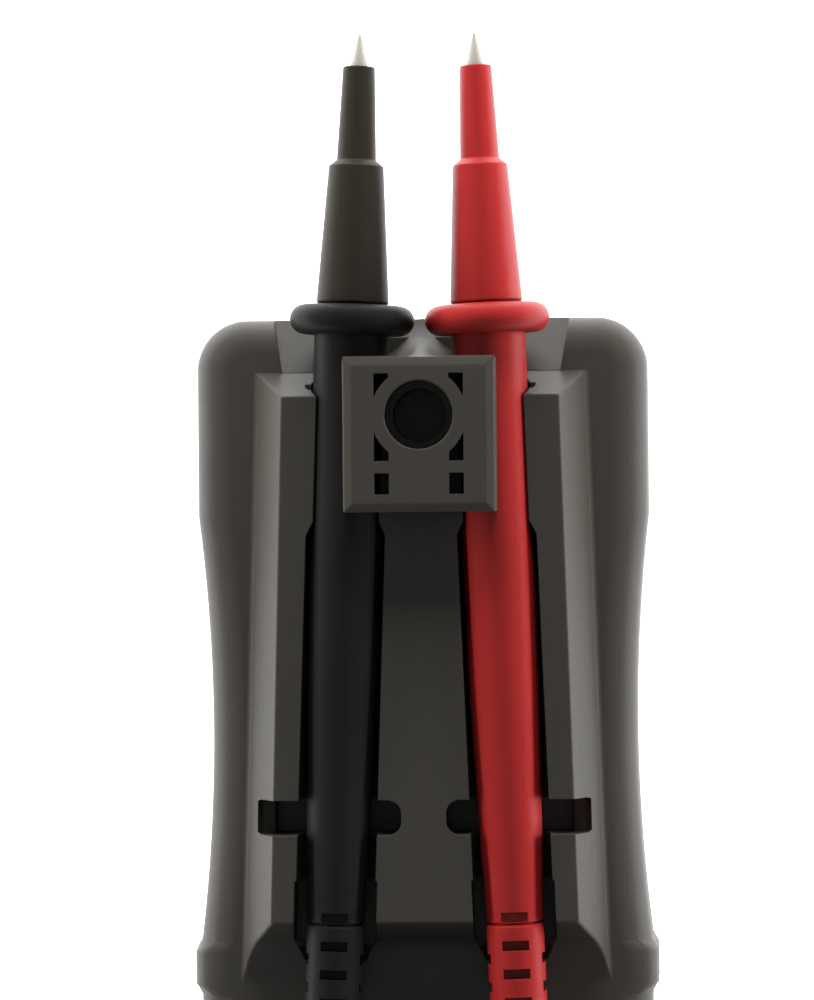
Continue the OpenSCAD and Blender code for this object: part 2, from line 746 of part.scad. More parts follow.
module dock_block() {
    w = block_w / 2;
    y1 = top_y - block_t;
    y0 = y1 - block_l;
    bevel_z = block_z - block_bevel;
    low_t = block_t + window_t + window_long + window_web;
    color(housing_grey) difference() {
        union() {
            skin([
                [[w + block_draft, y0, platform_z], [w + block_draft, y1, platform_z],
                 [-w - block_draft, y1, platform_z], [-w - block_draft, y0, platform_z]],
                [[w, y0, bevel_z], [w, y1, bevel_z], [-w, y1, bevel_z], [-w, y0, bevel_z]],
                [[w - block_bevel, y0 + block_bevel, block_z], [w - block_bevel, y1 - block_bevel, block_z],
                 [block_bevel - w, y1 - block_bevel, block_z], [block_bevel - w, y0 + block_bevel, block_z]]
            ]);
            block_tongues(0);
            // saddle that sweeps down to the ledge between the probes
            across(saddle_w, concat([for (p = saddle_shares)
                [block_t * p[0], ledge_z + (bevel_z - ledge_z) * p[1]]], [[block_t, ledge_z]]));
        }
        translate([0, block_socket_y, block_z - socket_depth])
            cylinder(r = socket_r, h = socket_depth + over);
        translate([0, block_socket_y, platform_z - over])
            cylinder(r = core_hole_r, h = block_z - platform_z);
        both_sides() {
            difference() {
                block_window(block_t + window_t, window_long);
                translate([0, block_socket_y, platform_z - 2 * over])
                    cylinder(r = socket_r + collar_wall, h = block_z);
            }
            block_window(low_t, window_short);
            on_red_axis() translate([0, 0, -2 * block_l]) cylinder(r = channel_r, h = 2 * block_l + guard_l);
            translate([axis_at(block_t), y0 - over, platform_z - over])
                cube([w, block_l + 2 * over, probe_z + channel_r - platform_z + over]);
        }
    }
}

module button_outline(grow, h) {
    r = button_l / 2;
    linear_extrude(h) union() {
        square([button_w - button_l, button_l + 2 * grow], center = true);
        for (s = [-1, 1]) translate([s * (button_w / 2 - r), 0]) circle(r = r + grow);
    }
}

module button(x) {
    rim_z = floor_z + fit_gap / 2;
    color(probe_black) at(x, button_t) {
        translate([0, 0, button_sink]) button_outline(0, rim_z + button_rim / 2 - button_sink);
        translate([0, 0, rim_z]) button_outline(3 * button_gap, button_rim);
    }
}

module keypad_mat() {
    w = 2 * button_x + button_w;
    t0 = button_t - button_l / 2;
    t1 = button_t + button_l / 2;
    z0 = floor_z + button_rim + button_travel + 2 * fit_gap;
    color([0.25, 0.25, 0.27]) difference() {
        slab(w + 2 * keypad_wall, t0 - keypad_wall, t1 + keypad_wall, z0, board_z);
        slab(w, t0, t1, z0 + keypad_wall, board_z + over);
    }
}

module display_window() {
    color([0.15, 0.16, 0.17, 0.6])
        slab(lens_w, lens_t, lens_t + lens_l, lens_sink, lens_back_z);
}

module display_module() {
    t0 = lens_t + lens_ledge + fit_gap;
    color([0.55, 0.6, 0.5]) slab(display_w, t0, t0 + display_l, floor_z + frame_h, board_z);
}

module led_lamps() {
    t0 = lens_t + lens_ledge + display_l + lamp_pitch;
    color([0.95, 0.9, 0.8]) both_sides() for (i = [0 : lamp_rows - 1])
        at(lamp_x, t0 + i * lamp_pitch) translate([-lamp_w / 2, -lamp_l / 2, floor_z + frame_h])
            cube([lamp_w, lamp_l, board_z - floor_z - frame_h]);
}

module main_board() {
    color([0.05, 0.3, 0.15]) difference() {
        slab(board_w, board_t, board_t + board_l, board_z, board_z + board_h);
        screw_places() translate([0, 0, board_z - over]) cylinder(r = boss_r + 2 * fit_gap, h = board_h + 2 * over);
        board_screw_places() translate([0, 0, board_z - over])
            cylinder(r = screw_r / 2 + fit_gap, h = board_h + 2 * over);
    }
}

module board_screws() {
    z = board_z + board_h;
    color(metal) board_screw_places() {
        translate([0, 0, z]) cylinder(r = screw_r * 1.3, h = screw_r);
        translate([0, 0, z - board_h - 2 * screw_r]) cylinder(r = screw_r / 2, h = board_h + 3 * screw_r);
    }
}

module board_chips() {
    z = board_z + board_h;
    color([0.1, 0.1, 0.1]) {
        slab(chip_l, chip_t, chip_t + chip_l, z, z + chip_h);
        both_sides() translate([chip_l, top_y - chip_t - chip_l, z]) cube([chip_l / 2, chip_l / 2, chip_h]);
    }
}

module input_resistors() {
    z = board_z + board_h;
    color([0.75, 0.6, 0.4]) for (i = [0 : resistor_count - 1])
        at(0, input_t + (i - (resistor_count - 1) / 2) * 2.4 * resistor_r, z) {
            translate([-resistor_l / 2, 0, resistor_r]) rotate([0, 90, 0]) cylinder(r = resistor_r, h = resistor_l);
            translate([-resistor_l / 2 - resistor_r, 0, resistor_r]) rotate([0, 90, 0])
                cylinder(r = resistor_r / 5, h = resistor_l + 2 * resistor_r);
            both_sides() translate([resistor_l / 2 + resistor_r * 0.8, 0, 0])
                cylinder(r = resistor_r / 5, h = resistor_r);
        }
}

module input_discs() {
    z = board_z + board_h;
    color([0.85, 0.5, 0.1]) both_sides() at(2.6 * disc_r, input_t, z) {
        translate([0, disc_h / 2, disc_r + disc_stand]) rotate([90, 0, 0]) cylinder(r = disc_r, h = disc_h);
        for (x = [-disc_r / 2, disc_r / 2]) translate([x, 0, 0]) cylinder(r = disc_h / 8, h = disc_r);
    }
}

module buzzer() {
    z = board_z + board_h;
    color([0.12, 0.12, 0.12]) at(0, buzzer_t, z) difference() {
        cylinder(r = buzzer_r, h = buzzer_h);
        translate([0, 0, buzzer_h / 2]) cylinder(r = buzzer_r / 6, h = buzzer_h);
    }
}

module housing_seal() {
    color([0.2, 0.2, 0.2]) seal_ring(seal_h);
}

// A cross-slotted screw with its head on the XY plane and its shank below
module screw(l, h) {
    difference() {
        union() {
            cylinder(r = head_r, h = h);
            translate([0, 0, -l]) cylinder(r = screw_r, h = l + h / 2);
        }
        for (a = [0, 90]) rotate([0, 0, a])
            translate([-head_r * 0.6, -head_r / 8, h * 0.4]) cube([head_r * 1.2, head_r / 4, h]);
    }
}

module housing_screws() {
    color(metal) screw_places() translate([0, 0, head_seat_z]) screw(screw_l, head_h);
}

module door_form(grow, h) {
    translate([-door_w / 2 - grow, top_y - door_t - door_l - grow, back_z - door_h])
        cube([door_w + 2 * grow, door_l + 2 * grow, h]);
}

module battery_door() {
    rib_pitch = door_rim * 1.2;
    color(housing_grey) difference() {
        union() {
            door_form(0, door_h);
            for (i = [0 : door_ribs - 1])
                slab(door_w / 2, door_t + door_l - door_rim - (i + 1) * rib_pitch,
                     door_t + door_l - door_rim - (i + 0.5) * rib_pitch, back_z - bite, back_z + door_rib_h);
        }
        at(0, door_screw_t, back_z - door_h - over) cylinder(r = screw_r + fit_gap, h = door_h + 2 * over);
        at(0, door_screw_t, back_z - door_head_h) cylinder(r = head_r + fit_gap, h = door_head_h + over);
    }
}

module door_screw() {
    color(metal) at(0, door_screw_t, back_z - door_head_h) screw(door_screw_l, door_head_h);
}

module battery_cell(side) {
    y0 = top_y - bay_t - (bay_l + cell_l) / 2;
    nub_h = cell_r / 5;
    turn = side > 0 ? 0 : 1;
    color(side > 0 ? [0.2, 0.2, 0.22] : [0.22, 0.2, 0.2])
        translate([side * cell_spacing / 2, y0 + cell_l / 2, bay_z + cell_r + fit_gap])
            rotate([-90, 0, turn * 180]) translate([0, 0, -cell_l / 2]) {
                cylinder(r = cell_r, h = cell_l - nub_h);
                cylinder(r = cell_r / 3, h = cell_l);
            }
}

module contact_plates() {
    gap = (bay_l - cell_l) / 2;
    w = cell_spacing + cell_r;
    tab = cell_r * 1.4;
    color(metal) {
        for (t = [bay_t, bay_foot_t - contact_h])
            for (x = [-1, 1]) translate([x * cell_spacing / 2 - tab / 2, top_y - t - contact_h, bay_z])
                cube([tab, contact_h, 1.8 * cell_r]);
        // dimples that reach to the cells
        for (s = [-1, 1]) for (x = [-1, 1])
            translate([x * cell_spacing / 2, top_y - bay_t - bay_l / 2 + s * (bay_l / 2 - contact_h), bay_z + cell_r])
                rotate([s * 90, 0, 0]) cylinder(r = cell_r / 3, h = gap - contact_h - fit_gap);
    }
}

module lead_gland(side, tint) {
    color(tint) translate([side * gland_x, foot_y, gland_z]) difference() {
        gland_form(0, 0);
        rotate([-90, 0, 0]) translate([0, 0, -over]) cylinder(r = lead_r, h = gland_l + 2 * over);
    }
}

// Places along a probe's axis, from the guard's middle towards the tip
cone_z = guard_l / 2;
sleeve_z = cone_z + cone_l;
point_z = sleeve_z + sleeve_l;
spigot_z = cone_z - spigot_l;

module probe_pin() {
    shaft_r = pin_r * 1.5;
    color(metal) rotate_extrude() polygon([
        [0, spigot_z - 2 * spigot_l], [shaft_r, spigot_z - 2 * spigot_l], [shaft_r, spigot_z - pin_r],
        [core_r - fit_gap, spigot_z - pin_r], [core_r - fit_gap, spigot_z], [pin_r, spigot_z],
        [pin_r, point_z], [pin_r * 0.9, point_z + point_l * 0.12], [0, point_z + point_l]]);
}

module probe_nose(tint) {
    color(tint) rotate_extrude() polygon([
        [pin_r + fit_gap / 2, spigot_z], [spigot_r - fit_gap, spigot_z], [spigot_r - fit_gap, cone_z],
        [cone_base_r, cone_z], [cone_tip_r, sleeve_z - shoulder_l],
        [sleeve_base_r, sleeve_z], [sleeve_tip_r, point_z], [pin_r + fit_gap / 2, point_z]]);
}

// Shares of the handle's length and of its taper, from the belly to the tail
handle_shares = [[0.46, 1], [0.6, 0.9], [0.72, 0.72], [0.81, 0.55], [0.88, 0.36], [0.94, 0.12],
                 [0.97, 0.02], [1, 0]];

module probe_handle(tint) {
    rim_r = guard_l / 2;
    color(tint) difference() {
        union() {
            rotate_extrude() union() {
                translate([0, -rim_r]) square([guard_r - rim_r, guard_l]);
                translate([guard_r - rim_r, 0]) circle(r = rim_r);
            }
            rotate_extrude() polygon(concat(
                [[0, 0], [handle_r, 0], [handle_r, -rim_r]],
                [for (p = handle_shares)
                    [handle_tail_r + (handle_belly_r - handle_tail_r) * p[1], -handle_l * p[0]]],
                [[0, -handle_l]]));
        }
        translate([0, 0, spigot_z - over]) cylinder(r = spigot_r, h = spigot_l + 2 * over);
        translate([0, 0, -handle_l - over]) cylinder(r = core_r, h = handle_l + over + spigot_z);
    }
}

module probe_tail(tint) {
    depth = tail_r - lead_r - tail_web;
    edge = tail_web;
    color(tint) translate([0, 0, -handle_l]) difference() {
        union() {
            rotate_extrude() polygon([
                [0, 0], [tail_r - edge, 0], [tail_r, -edge], [tail_r, -tail_l * 0.45],
                [tail_end_r, edge - tail_l], [tail_end_r - edge, -tail_l], [0, -tail_l]]);
            translate([0, 0, -bite]) cylinder(r = core_r - fit_gap / 2, h = tail_spigot_l + bite);
        }
        translate([0, 0, -tail_l - over]) cylinder(r = lead_r, h = tail_l + tail_spigot_l + 2 * over);
        // windows front and back, with those at the sides half a pitch further on
        for (i = [0 : tail_rings - 1]) for (a = [0 : 90 : 270])
            rotate([0, 0, a]) translate([-tail_window_w / 2, tail_r - depth,
                -(i + 0.64 + (a % 180) / 180) * tail_pitch - tail_window_l / 2])
                cube([tail_window_w, depth + over, tail_window_l]);
    }
}

module red_side() {
    on_red_axis() children();
}

module black_side() {
    mirror([1, 0, 0]) on_red_axis() children();
}

front_housing();
rear_housing();
dock_block();
housing_seal();
housing_screws();
display_window();
display_module();
led_lamps();
keypad_mat();
main_board();
board_screws();
board_chips();
input_resistors();
input_discs();
buzzer();
battery_cell(-1);  // battery_cell_left
battery_cell(1);  // battery_cell_right
contact_plates();
lead_gland(-1, probe_black);  // lead_gland_black
lead_gland(1, probe_red);  // lead_gland_red
battery_door();
door_screw();
button(button_x);  // hold_button
button(-button_x);  // light_button
black_side() probe_pin();  // black_probe_pin
black_side() probe_nose(probe_black);  // black_probe_nose
black_side() probe_handle(probe_black);  // black_probe_handle
black_side() probe_tail(probe_black);  // black_probe_tail
red_side() probe_pin();  // red_probe_pin
red_side() probe_nose(probe_red);  // red_probe_nose
red_side() probe_handle(probe_red);  // red_probe_handle
red_side() probe_tail(probe_red);  // red_probe_tail
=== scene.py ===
"""Finishes a two-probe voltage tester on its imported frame, lying on its face with both probes docked in its back."""

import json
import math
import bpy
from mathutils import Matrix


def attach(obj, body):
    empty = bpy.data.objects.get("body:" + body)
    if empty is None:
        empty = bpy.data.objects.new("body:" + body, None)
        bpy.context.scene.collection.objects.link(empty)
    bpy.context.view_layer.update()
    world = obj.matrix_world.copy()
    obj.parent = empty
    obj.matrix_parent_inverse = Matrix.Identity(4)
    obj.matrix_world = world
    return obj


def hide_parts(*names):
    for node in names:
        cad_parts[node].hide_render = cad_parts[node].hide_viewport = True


bl_info = {
    "name": "Docked probe voltage tester",
    "version": (1, 0, 0),
    "blender": (4, 5, 0),
    "location": "View3D > Sidebar > Tester",
    "description": "Finishes a two-probe voltage tester: housing, dock, probes, controls and studio",
    "category": "Object",
}

import bmesh
import bpy
from bpy.props import FloatProperty, IntProperty, PointerProperty, StringProperty
from mathutils import Matrix, Vector

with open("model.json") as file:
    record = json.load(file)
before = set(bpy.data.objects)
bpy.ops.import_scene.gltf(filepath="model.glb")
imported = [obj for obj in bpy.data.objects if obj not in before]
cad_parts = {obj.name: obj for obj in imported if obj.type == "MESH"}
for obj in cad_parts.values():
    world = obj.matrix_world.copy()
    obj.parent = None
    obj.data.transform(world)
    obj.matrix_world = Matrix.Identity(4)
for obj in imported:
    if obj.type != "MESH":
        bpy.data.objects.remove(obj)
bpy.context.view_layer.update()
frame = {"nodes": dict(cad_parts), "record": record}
MM = 0.001

# Millimetres: a cut up to this height is open at the top
OPEN_Z = 40
# Room round a docked probe in its bed
BED_PLAY = 0.22
# Room round a part that is set in the housing for good
SEAT_PLAY = 0.12
# How far the shading rounds an edge of a moulding
SOFT_EDGE = 0.15


# Colours and nodes


def linear(hex_colour):
    """A colour written as sRGB hex, as the linear value that a shader takes."""
    parts = [int(hex_colour[i : i + 2], 16) / 255 for i in (1, 3, 5)]
    return [p / 12.92 if p <= 0.04045 else ((p + 0.055) / 1.055) ** 2.4 for p in parts] + [1.0]


def add(tree, kind, inputs=None, **settings):
    """Adds a node. Each input is a value for a socket, or another node's output that is linked to it."""
    node = tree.nodes.new(kind)
    for key, value in settings.items():
        setattr(node, key, value)
    for key, value in (inputs or {}).items():
        if isinstance(value, bpy.types.NodeSocket):
            tree.links.new(value, node.inputs[key])
        else:
            node.inputs[key].default_value = value
    return node


def new_material(name):
    """An empty node material, its tree, its output and its object coordinates."""
    material = bpy.data.materials.new(name)
    material.use_nodes = True
    tree = material.node_tree
    tree.nodes.clear()
    out = tree.nodes.new("ShaderNodeOutputMaterial")
    return material, tree, out, add(tree, "ShaderNodeTexCoord").outputs["Object"]


def moulded(name, colour, second, rough, spread, grain, relief, specular=0.5, coat=0.0):
    """A moulded plastic: two colours that drift slowly, a tool grain in its gloss and height, and softened edges."""
    material, tree, out, where = new_material(name)
    # The colour drifts over 16 mm. A real tool grain is about 0.1 mm: it is drawn as coarse as it needs to show
    drift = add(tree, "ShaderNodeTexNoise", {"Vector": where, "Scale": 1 / (16 * MM), "Detail": 3.0})
    grit = {"Vector": where, "Scale": 1 / (grain * MM), "Detail": 3.0, "Roughness": 0.6}
    fine = add(tree, "ShaderNodeTexNoise", grit).outputs["Fac"]
    pair = {0: drift.outputs["Fac"], 6: linear(colour), 7: linear(second)}
    tint = add(tree, "ShaderNodeMix", pair, data_type="RGBA")
    gloss = add(tree, "ShaderNodeMapRange", {0: fine, 1: 0.3, 2: 0.7, 3: rough - spread, 4: rough + spread})
    soft = add(tree, "ShaderNodeBevel", {"Radius": SOFT_EDGE * MM}, samples=6)
    height = {"Height": fine, "Strength": 0.6, "Distance": relief * MM, "Normal": soft.outputs[0]}
    surface = {
        "Base Color": tint.outputs[2],
        "Roughness": gloss.outputs[0],
        "Normal": add(tree, "ShaderNodeBump", height).outputs[0],
        "IOR": 1.5,
        "Specular IOR Level": specular,
        "Coat Weight": coat,
        "Coat Roughness": 0.3,
    }
    tree.links.new(add(tree, "ShaderNodeBsdfPrincipled", surface).outputs[0], out.inputs[0])
    return material


def plated(name, colour, rough, line, along, metallic=1.0):
    """A plated metal with fine marks that run round or along it."""
    material, tree, out, where = new_material(name)
    # Real turning marks are some 0.02 mm apart: they are drawn as coarse as they need to show
    stretch = add(tree, "ShaderNodeMapping", {"Vector": where, "Scale": along}).outputs[0]
    marks = add(tree, "ShaderNodeTexNoise", {"Vector": stretch, "Scale": 1 / (line * MM), "Detail": 2.0})
    cloud = add(tree, "ShaderNodeTexNoise", {"Vector": where, "Scale": 1 / (3 * MM), "Detail": 2.0})
    worn = {0: cloud.outputs["Fac"], 1: 0.3, 2: 0.7, 3: rough * 0.75, 4: rough * 1.3}
    surface = {
        "Base Color": linear(colour),
        "Metallic": metallic,
        "Roughness": add(tree, "ShaderNodeMapRange", worn).outputs[0],
        "Normal": add(
            tree, "ShaderNodeBump", {"Height": marks.outputs["Fac"], "Strength": 0.4, "Distance": 0.01 * MM}
        ).outputs[0],
    }
    tree.links.new(add(tree, "ShaderNodeBsdfPrincipled", surface).outputs[0], out.inputs[0])
    return material


def laminate(name, ground, track, pitch):
    """A printed board: solder mask over narrow copper tracks that run in straight lanes."""
    material, tree, out, where = new_material(name)
    lanes = {
        "Vector": where,
        "Color1": linear(ground),
        "Color2": linear(ground),
        "Mortar": linear(track),
        "Scale": 1 / (pitch * MM),
        "Mortar Size": 0.06,
        "Brick Width": 2.4,
        "Row Height": 0.9,
    }
    cells = add(tree, "ShaderNodeTexBrick", lanes)
    raised = {"Height": cells.outputs[1], "Strength": 0.5, "Distance": 0.03 * MM}
    bump = add(tree, "ShaderNodeBump", raised, invert=True)
    surface = {"Base Color": cells.outputs[0], "Roughness": 0.35, "Coat Weight": 0.3, "Normal": bump.outputs[0]}
    tree.links.new(add(tree, "ShaderNodeBsdfPrincipled", surface).outputs[0], out.inputs[0])
    return material


def clear_window(name, tint):
    """A clear moulded window with the faintest ripple of its mould."""
    material, tree, out, where = new_material(name)
    ripple = add(tree, "ShaderNodeTexNoise", {"Vector": where, "Scale": 1 / (9 * MM), "Detail": 1.0}).outputs["Fac"]
    surface = {
        "Base Color": linear(tint),
        "Roughness": add(tree, "ShaderNodeMapRange", {0: ripple, 3: 0.03, 4: 0.09}).outputs[0],
        "Normal": add(tree, "ShaderNodeBump", {"Height": ripple, "Strength": 0.3, "Distance": 0.02 * MM}).outputs[0],
        "IOR": 1.49,
        "Transmission Weight": 0.85,
    }
    tree.links.new(add(tree, "ShaderNodeBsdfPrincipled", surface).outputs[0], out.inputs[0])
    return material


def make_finishes(c):
    """Every material of the tester by the name of the slot that it finishes."""
    return {
        # ABS from a spark-eroded tool: warm dark grey, dull from above, pale where it is seen along its surface
        "housing": moulded("spark_textured_grey_abs", c.housing, c.housing_light, 0.45, 0.05, 0.34, 0.012, 0.35),
        # Polished ABS: near black, with soft broad highlights
        "black_grip": moulded("satin_black_abs", c.black_probe, c.black_probe_light, 0.42, 0.04, 0.5, 0.006, 0.14),
        # The same moulding in red, a little lighter where the wall is thin
        "red_grip": moulded("satin_red_abs", c.red_probe, c.red_probe_light, 0.4, 0.04, 0.5, 0.006, 0.3),
        # The handles and strain reliefs: the same mouldings, polished less. Their colour, darker than the noses, is
        # painted shade for the lesser light that reaches them
        "black_handle": moulded("dull_black_abs", c.black_handle, "#121111", 0.46, 0.04, 0.5, 0.006, 0.12),
        "red_handle": moulded("dull_red_abs", c.red_handle, c.red_probe, 0.44, 0.04, 0.5, 0.006, 0.26),
        # Nickel plate over turned brass: pale and warm, marks run round the pin. It is only half metallic, since
        # the white room would burn it out
        "plated_pin": plated("turned_nickel_plate", c.pin, 0.55, 0.12, (1.0, 6.0, 1.0), 0.5),
        # Zinc plate on steel, duller than the pins
        "steel": plated("zinc_plated_steel", c.screw, 0.32, 0.2, (1.0, 1.0, 1.0)),
        # Silicone cord: black and quite dull
        "seal_rubber": moulded("silicone_cord", "#1c1c1b", "#242422", 0.75, 0.08, 0.6, 0.02, 0.3),
        # Silicone mat: mid grey, dull
        "keypad_rubber": moulded("silicone_keypad", "#54565a", "#5e6064", 0.7, 0.08, 0.6, 0.02, 0.3),
        # Rubber-like overmoulding of the keys
        "button": moulded("soft_touch_key", c.button, c.button_light, 0.55, 0.06, 0.4, 0.015, 0.4),
        # Polycarbonate: clear with a smoky tint
        "window": clear_window("polished_polycarbonate", "#c9cfd0"),
        # Liquid crystal glass at rest: grey green and blank
        "display": moulded("blank_lcd_glass", "#8f9a86", "#98a28e", 0.16, 0.03, 0.8, 0.002, coat=0.4),
        # Diffusing epoxy of a lamp: milky with a red cast
        "lamp": moulded("diffused_lamp_epoxy", "#c9472f", "#d8664a", 0.3, 0.05, 0.7, 0.004),
        # Glass epoxy board under green mask
        "board": laminate("green_masked_board", "#1d4a34", "#37704f", 4.0),
        # Black moulding compound, matt from its mould
        "chip": moulded("chip_mould_compound", "#1b1b1d", "#232326", 0.6, 0.07, 0.25, 0.01, 0.4),
        # Lacquered ceramic rods
        "ceramic": moulded("lacquered_ceramic", "#b9c4cf", "#c9d2da", 0.35, 0.05, 0.5, 0.01),
        # Dipped discs: blue lacquer with sagged edges
        "disc": moulded("dipped_blue_lacquer", "#22508c", "#2d5f9f", 0.28, 0.06, 2.0, 0.05),
        # Printed film round a cell: plain dark grey
        "cell_jacket": moulded("cell_film", "#35383b", "#3f4347", 0.3, 0.05, 1.2, 0.01),
    }


# Meshes


def placed(name, data):
    """A new object in the scene."""
    item = bpy.data.objects.new(name, data)
    bpy.context.scene.collection.objects.link(item)
    return item


def as_mesh(name, bm):
    """A mesh made from a bmesh, which it uses up."""
    mesh = bpy.data.meshes.new(name)
    bm.to_mesh(mesh)
    bm.free()
    return mesh


def mesh_object(name, bm, material, body, replaced):
    """Turns a finished bmesh in millimetres into a piece that rides on a body and stands for its CAD nodes."""
    bmesh.ops.scale(bm, vec=(MM, MM, MM), verts=bm.verts)
    mesh = as_mesh(name, bm)
    mesh.materials.append(material)
    mesh.shade_smooth()
    settle(placed(name, mesh), body, replaced)


def settle(piece, body, replaced):
    """Gives a piece its body and hides the CAD nodes that it stands for."""
    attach(piece, body)
    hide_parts(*replaced)


def soften(points, radii, steps=5):
    """Rounds the corners of a profile. Each corner takes its radius from radii, or stays sharp."""
    out = []
    for i, here in enumerate(points):
        r = radii.get(i, 0)
        if not r:
            out.append(here)
            continue
        here, before, after = Vector(here), Vector(points[i - 1]), Vector(points[(i + 1) % len(points)])
        a, b = (before - here).normalized(), (after - here).normalized()
        half = a.angle(b) / 2
        reach = min(r / math.tan(half), (before - here).length * 0.49, (after - here).length * 0.49)
        r = reach * math.tan(half)
        centre = here + (a + b).normalized() * (r / math.sin(half))
        start, end = here + a * reach - centre, here + b * reach - centre
        turn = start.angle_signed(end)
        for k in range(steps + 1):
            spun = start.copy()
            spun.rotate(Matrix.Rotation(-turn * k / steps, 2))
            out.append(tuple(centre + spun))
    return out


def turned(bm, profile, place, segments=96, closed=False):
    """Turns a profile of (radius, height) pairs about its axis. An open profile starts and ends on the axis."""
    rings = []
    for r, z in profile:
        if r < 1e-6:
            rings.append([bm.verts.new(place @ Vector((0, 0, z)))])
        else:
            angles = [2 * math.pi * k / segments for k in range(segments)]
            rings.append([bm.verts.new(place @ Vector((r * math.cos(a), r * math.sin(a), z))) for a in angles])
    pairs = list(zip(rings, rings[1:] + rings[:1] if closed else rings[1:]))
    for low, high in pairs:
        for k in range(segments):
            j = (k + 1) % segments
            corners = [low[k % len(low)], low[j % len(low)], high[j % len(high)], high[k % len(high)]]
            unique = list(dict.fromkeys(corners))
            if len(unique) > 2:
                bm.faces.new(unique)
    bmesh.ops.recalc_face_normals(bm, faces=bm.faces)


def eased(node, name, material, body, width):
    """A CAD node's form with its sharp edges eased by a small round, as a mould leaves them."""
    bm = bmesh.new()
    bm.from_mesh(frame["nodes"][node].data)
    bmesh.ops.remove_doubles(bm, verts=bm.verts, dist=0.002 * MM)
    bmesh.ops.dissolve_degenerate(bm, edges=bm.edges, dist=0.001 * MM)
    bmesh.ops.dissolve_limit(bm, angle_limit=math.radians(1.0), verts=bm.verts, edges=bm.edges)
    bmesh.ops.triangulate(bm, faces=[f for f in bm.faces if len(f.verts) > 4], ngon_method="BEAUTY")
    mesh = as_mesh(name, bm)
    # The CAD's own normals would fight with the rounds
    for layer in [a for a in mesh.attributes if a.name in ("custom_normal", "sharp_edge", "sharp_face")]:
        mesh.attributes.remove(layer)
    mesh.materials.clear()
    mesh.materials.append(material)
    mesh.shade_smooth()
    piece = placed(name, mesh)
    ease = piece.modifiers.new("eased_edges", "BEVEL")
    ease.width = width * MM
    ease.segments = 2
    ease.limit_method = "ANGLE"
    ease.angle_limit = math.radians(32)
    ease.use_clamp_overlap = False
    ease.harden_normals = True
    ease.miter_outer = "MITER_SHARP"
    settle(piece, body, [node])


def form(name, bm):
    """A passing object, in millimetres, that a boolean uses up."""
    bmesh.ops.recalc_face_normals(bm, faces=bm.faces)
    return placed(name, as_mesh(name, bm))


def combine(base, *others, operation="DIFFERENCE"):
    """Cuts the other forms from the base, or joins them to it, one after another."""
    for other in others:
        step = base.modifiers.new("step", "BOOLEAN")
        step.operation = operation
        step.solver = "EXACT"
        step.object = other
        graph = bpy.context.evaluated_depsgraph_get()
        mesh = bpy.data.meshes.new_from_object(base.evaluated_get(graph))
        base.modifiers.clear()
        old, base.data = base.data, mesh
        bpy.data.meshes.remove(old)
        used = other.data
        bpy.data.objects.remove(other)
        bpy.data.meshes.remove(used)
    return base


def ring_form(name, rings, mirrored=False):
    """A closed skin through rings of points, with flat ends."""
    bm = bmesh.new()
    rows = [[bm.verts.new(p) for p in ring] for ring in rings]
    n = len(rows[0])
    for low, high in zip(rows, rows[1:]):
        for k in range(n):
            j = (k + 1) % n
            bm.faces.new((low[k], low[j], high[j], high[k]))
    bm.faces.new(rows[0])
    bm.faces.new(list(reversed(rows[-1])))
    if mirrored:
        bmesh.ops.scale(bm, vec=(-1, 1, 1), verts=bm.verts)
    return form(name, bm)


def box_form(name, width, t0, t1, z0, z1, x=0.0):
    """A box that runs from t0 to t1 below the top edge of the tester."""
    top = bpy.context.scene.tester_housing.top_y
    half = width / 2
    ring = [(x - half, top - t1), (x + half, top - t1), (x + half, top - t0), (x - half, top - t0)]
    return ring_form(name, [[(a, b, z) for a, b in ring] for z in (z0, z1)])


def rod_form(name, radius, start, end, segments=96):
    """A round bar from one point to another."""
    start, end = Vector(start), Vector(end)
    turn = (end - start).to_track_quat("Z", "Y").to_matrix().to_4x4()
    length = (end - start).length
    bm = bmesh.new()
    profile = [(0, 0), (radius, 0), (radius, length), (0, length)]
    turned(bm, profile, Matrix.Translation(start) @ turn, segments)
    return form(name, bm)


def drill_form(name, radius, x, y, z0, z1=OPEN_Z, segments=64):
    """An upright round bar, for a hole or a boss."""
    return rod_form(name, radius, (x, y, z0), (x, y, z1), segments)


def prism_form(name, points, z0, z1, mirrored=False):
    """A prism with a plan outline."""
    return ring_form(name, [[(x, y, z) for x, y in points] for z in (z0, z1)], mirrored)


def housing_outline(h, inset):
    """The housing's plan outline, drawn in by inset: corners, waist, hand barrier and foot."""
    corner_steps, waist_steps = 16, 24
    side = []
    for k in range(corner_steps + 1):
        a = math.radians(90 - 90 * k / corner_steps)
        r = h.head_corner_r - inset
        side.append((h.head_w / 2 - h.head_corner_r + r * math.cos(a), h.top_y - h.head_corner_r + r * math.sin(a)))
    for k in range(waist_steps + 1):
        s = k / waist_steps
        x = h.head_w / 2 + (h.grip_w - h.head_w) / 2 * s - h.waist_depth * (1 - (2 * s - 1) ** 2) - inset
        side.append((x, h.top_y - h.head_l - (h.barrier_t - h.head_l) * s))
    by = h.top_y - h.barrier_t
    side += [
        (h.barrier_w / 2 - inset, by - h.barrier_chamfer),
        (h.barrier_w / 2 - inset, by - h.barrier_l + h.barrier_chamfer),
        (h.grip_w / 2 - inset, by - h.barrier_l),
    ]
    foot = h.top_y - h.body_l
    for k in range(corner_steps + 1):
        a = math.radians(-90 * k / corner_steps)
        r = h.foot_corner_r - inset
        side.append((h.grip_foot_w / 2 - h.foot_corner_r + r * math.cos(a), foot + h.foot_corner_r + r * math.sin(a)))
    return side[::-1] + [(-x, y) for x, y in side]


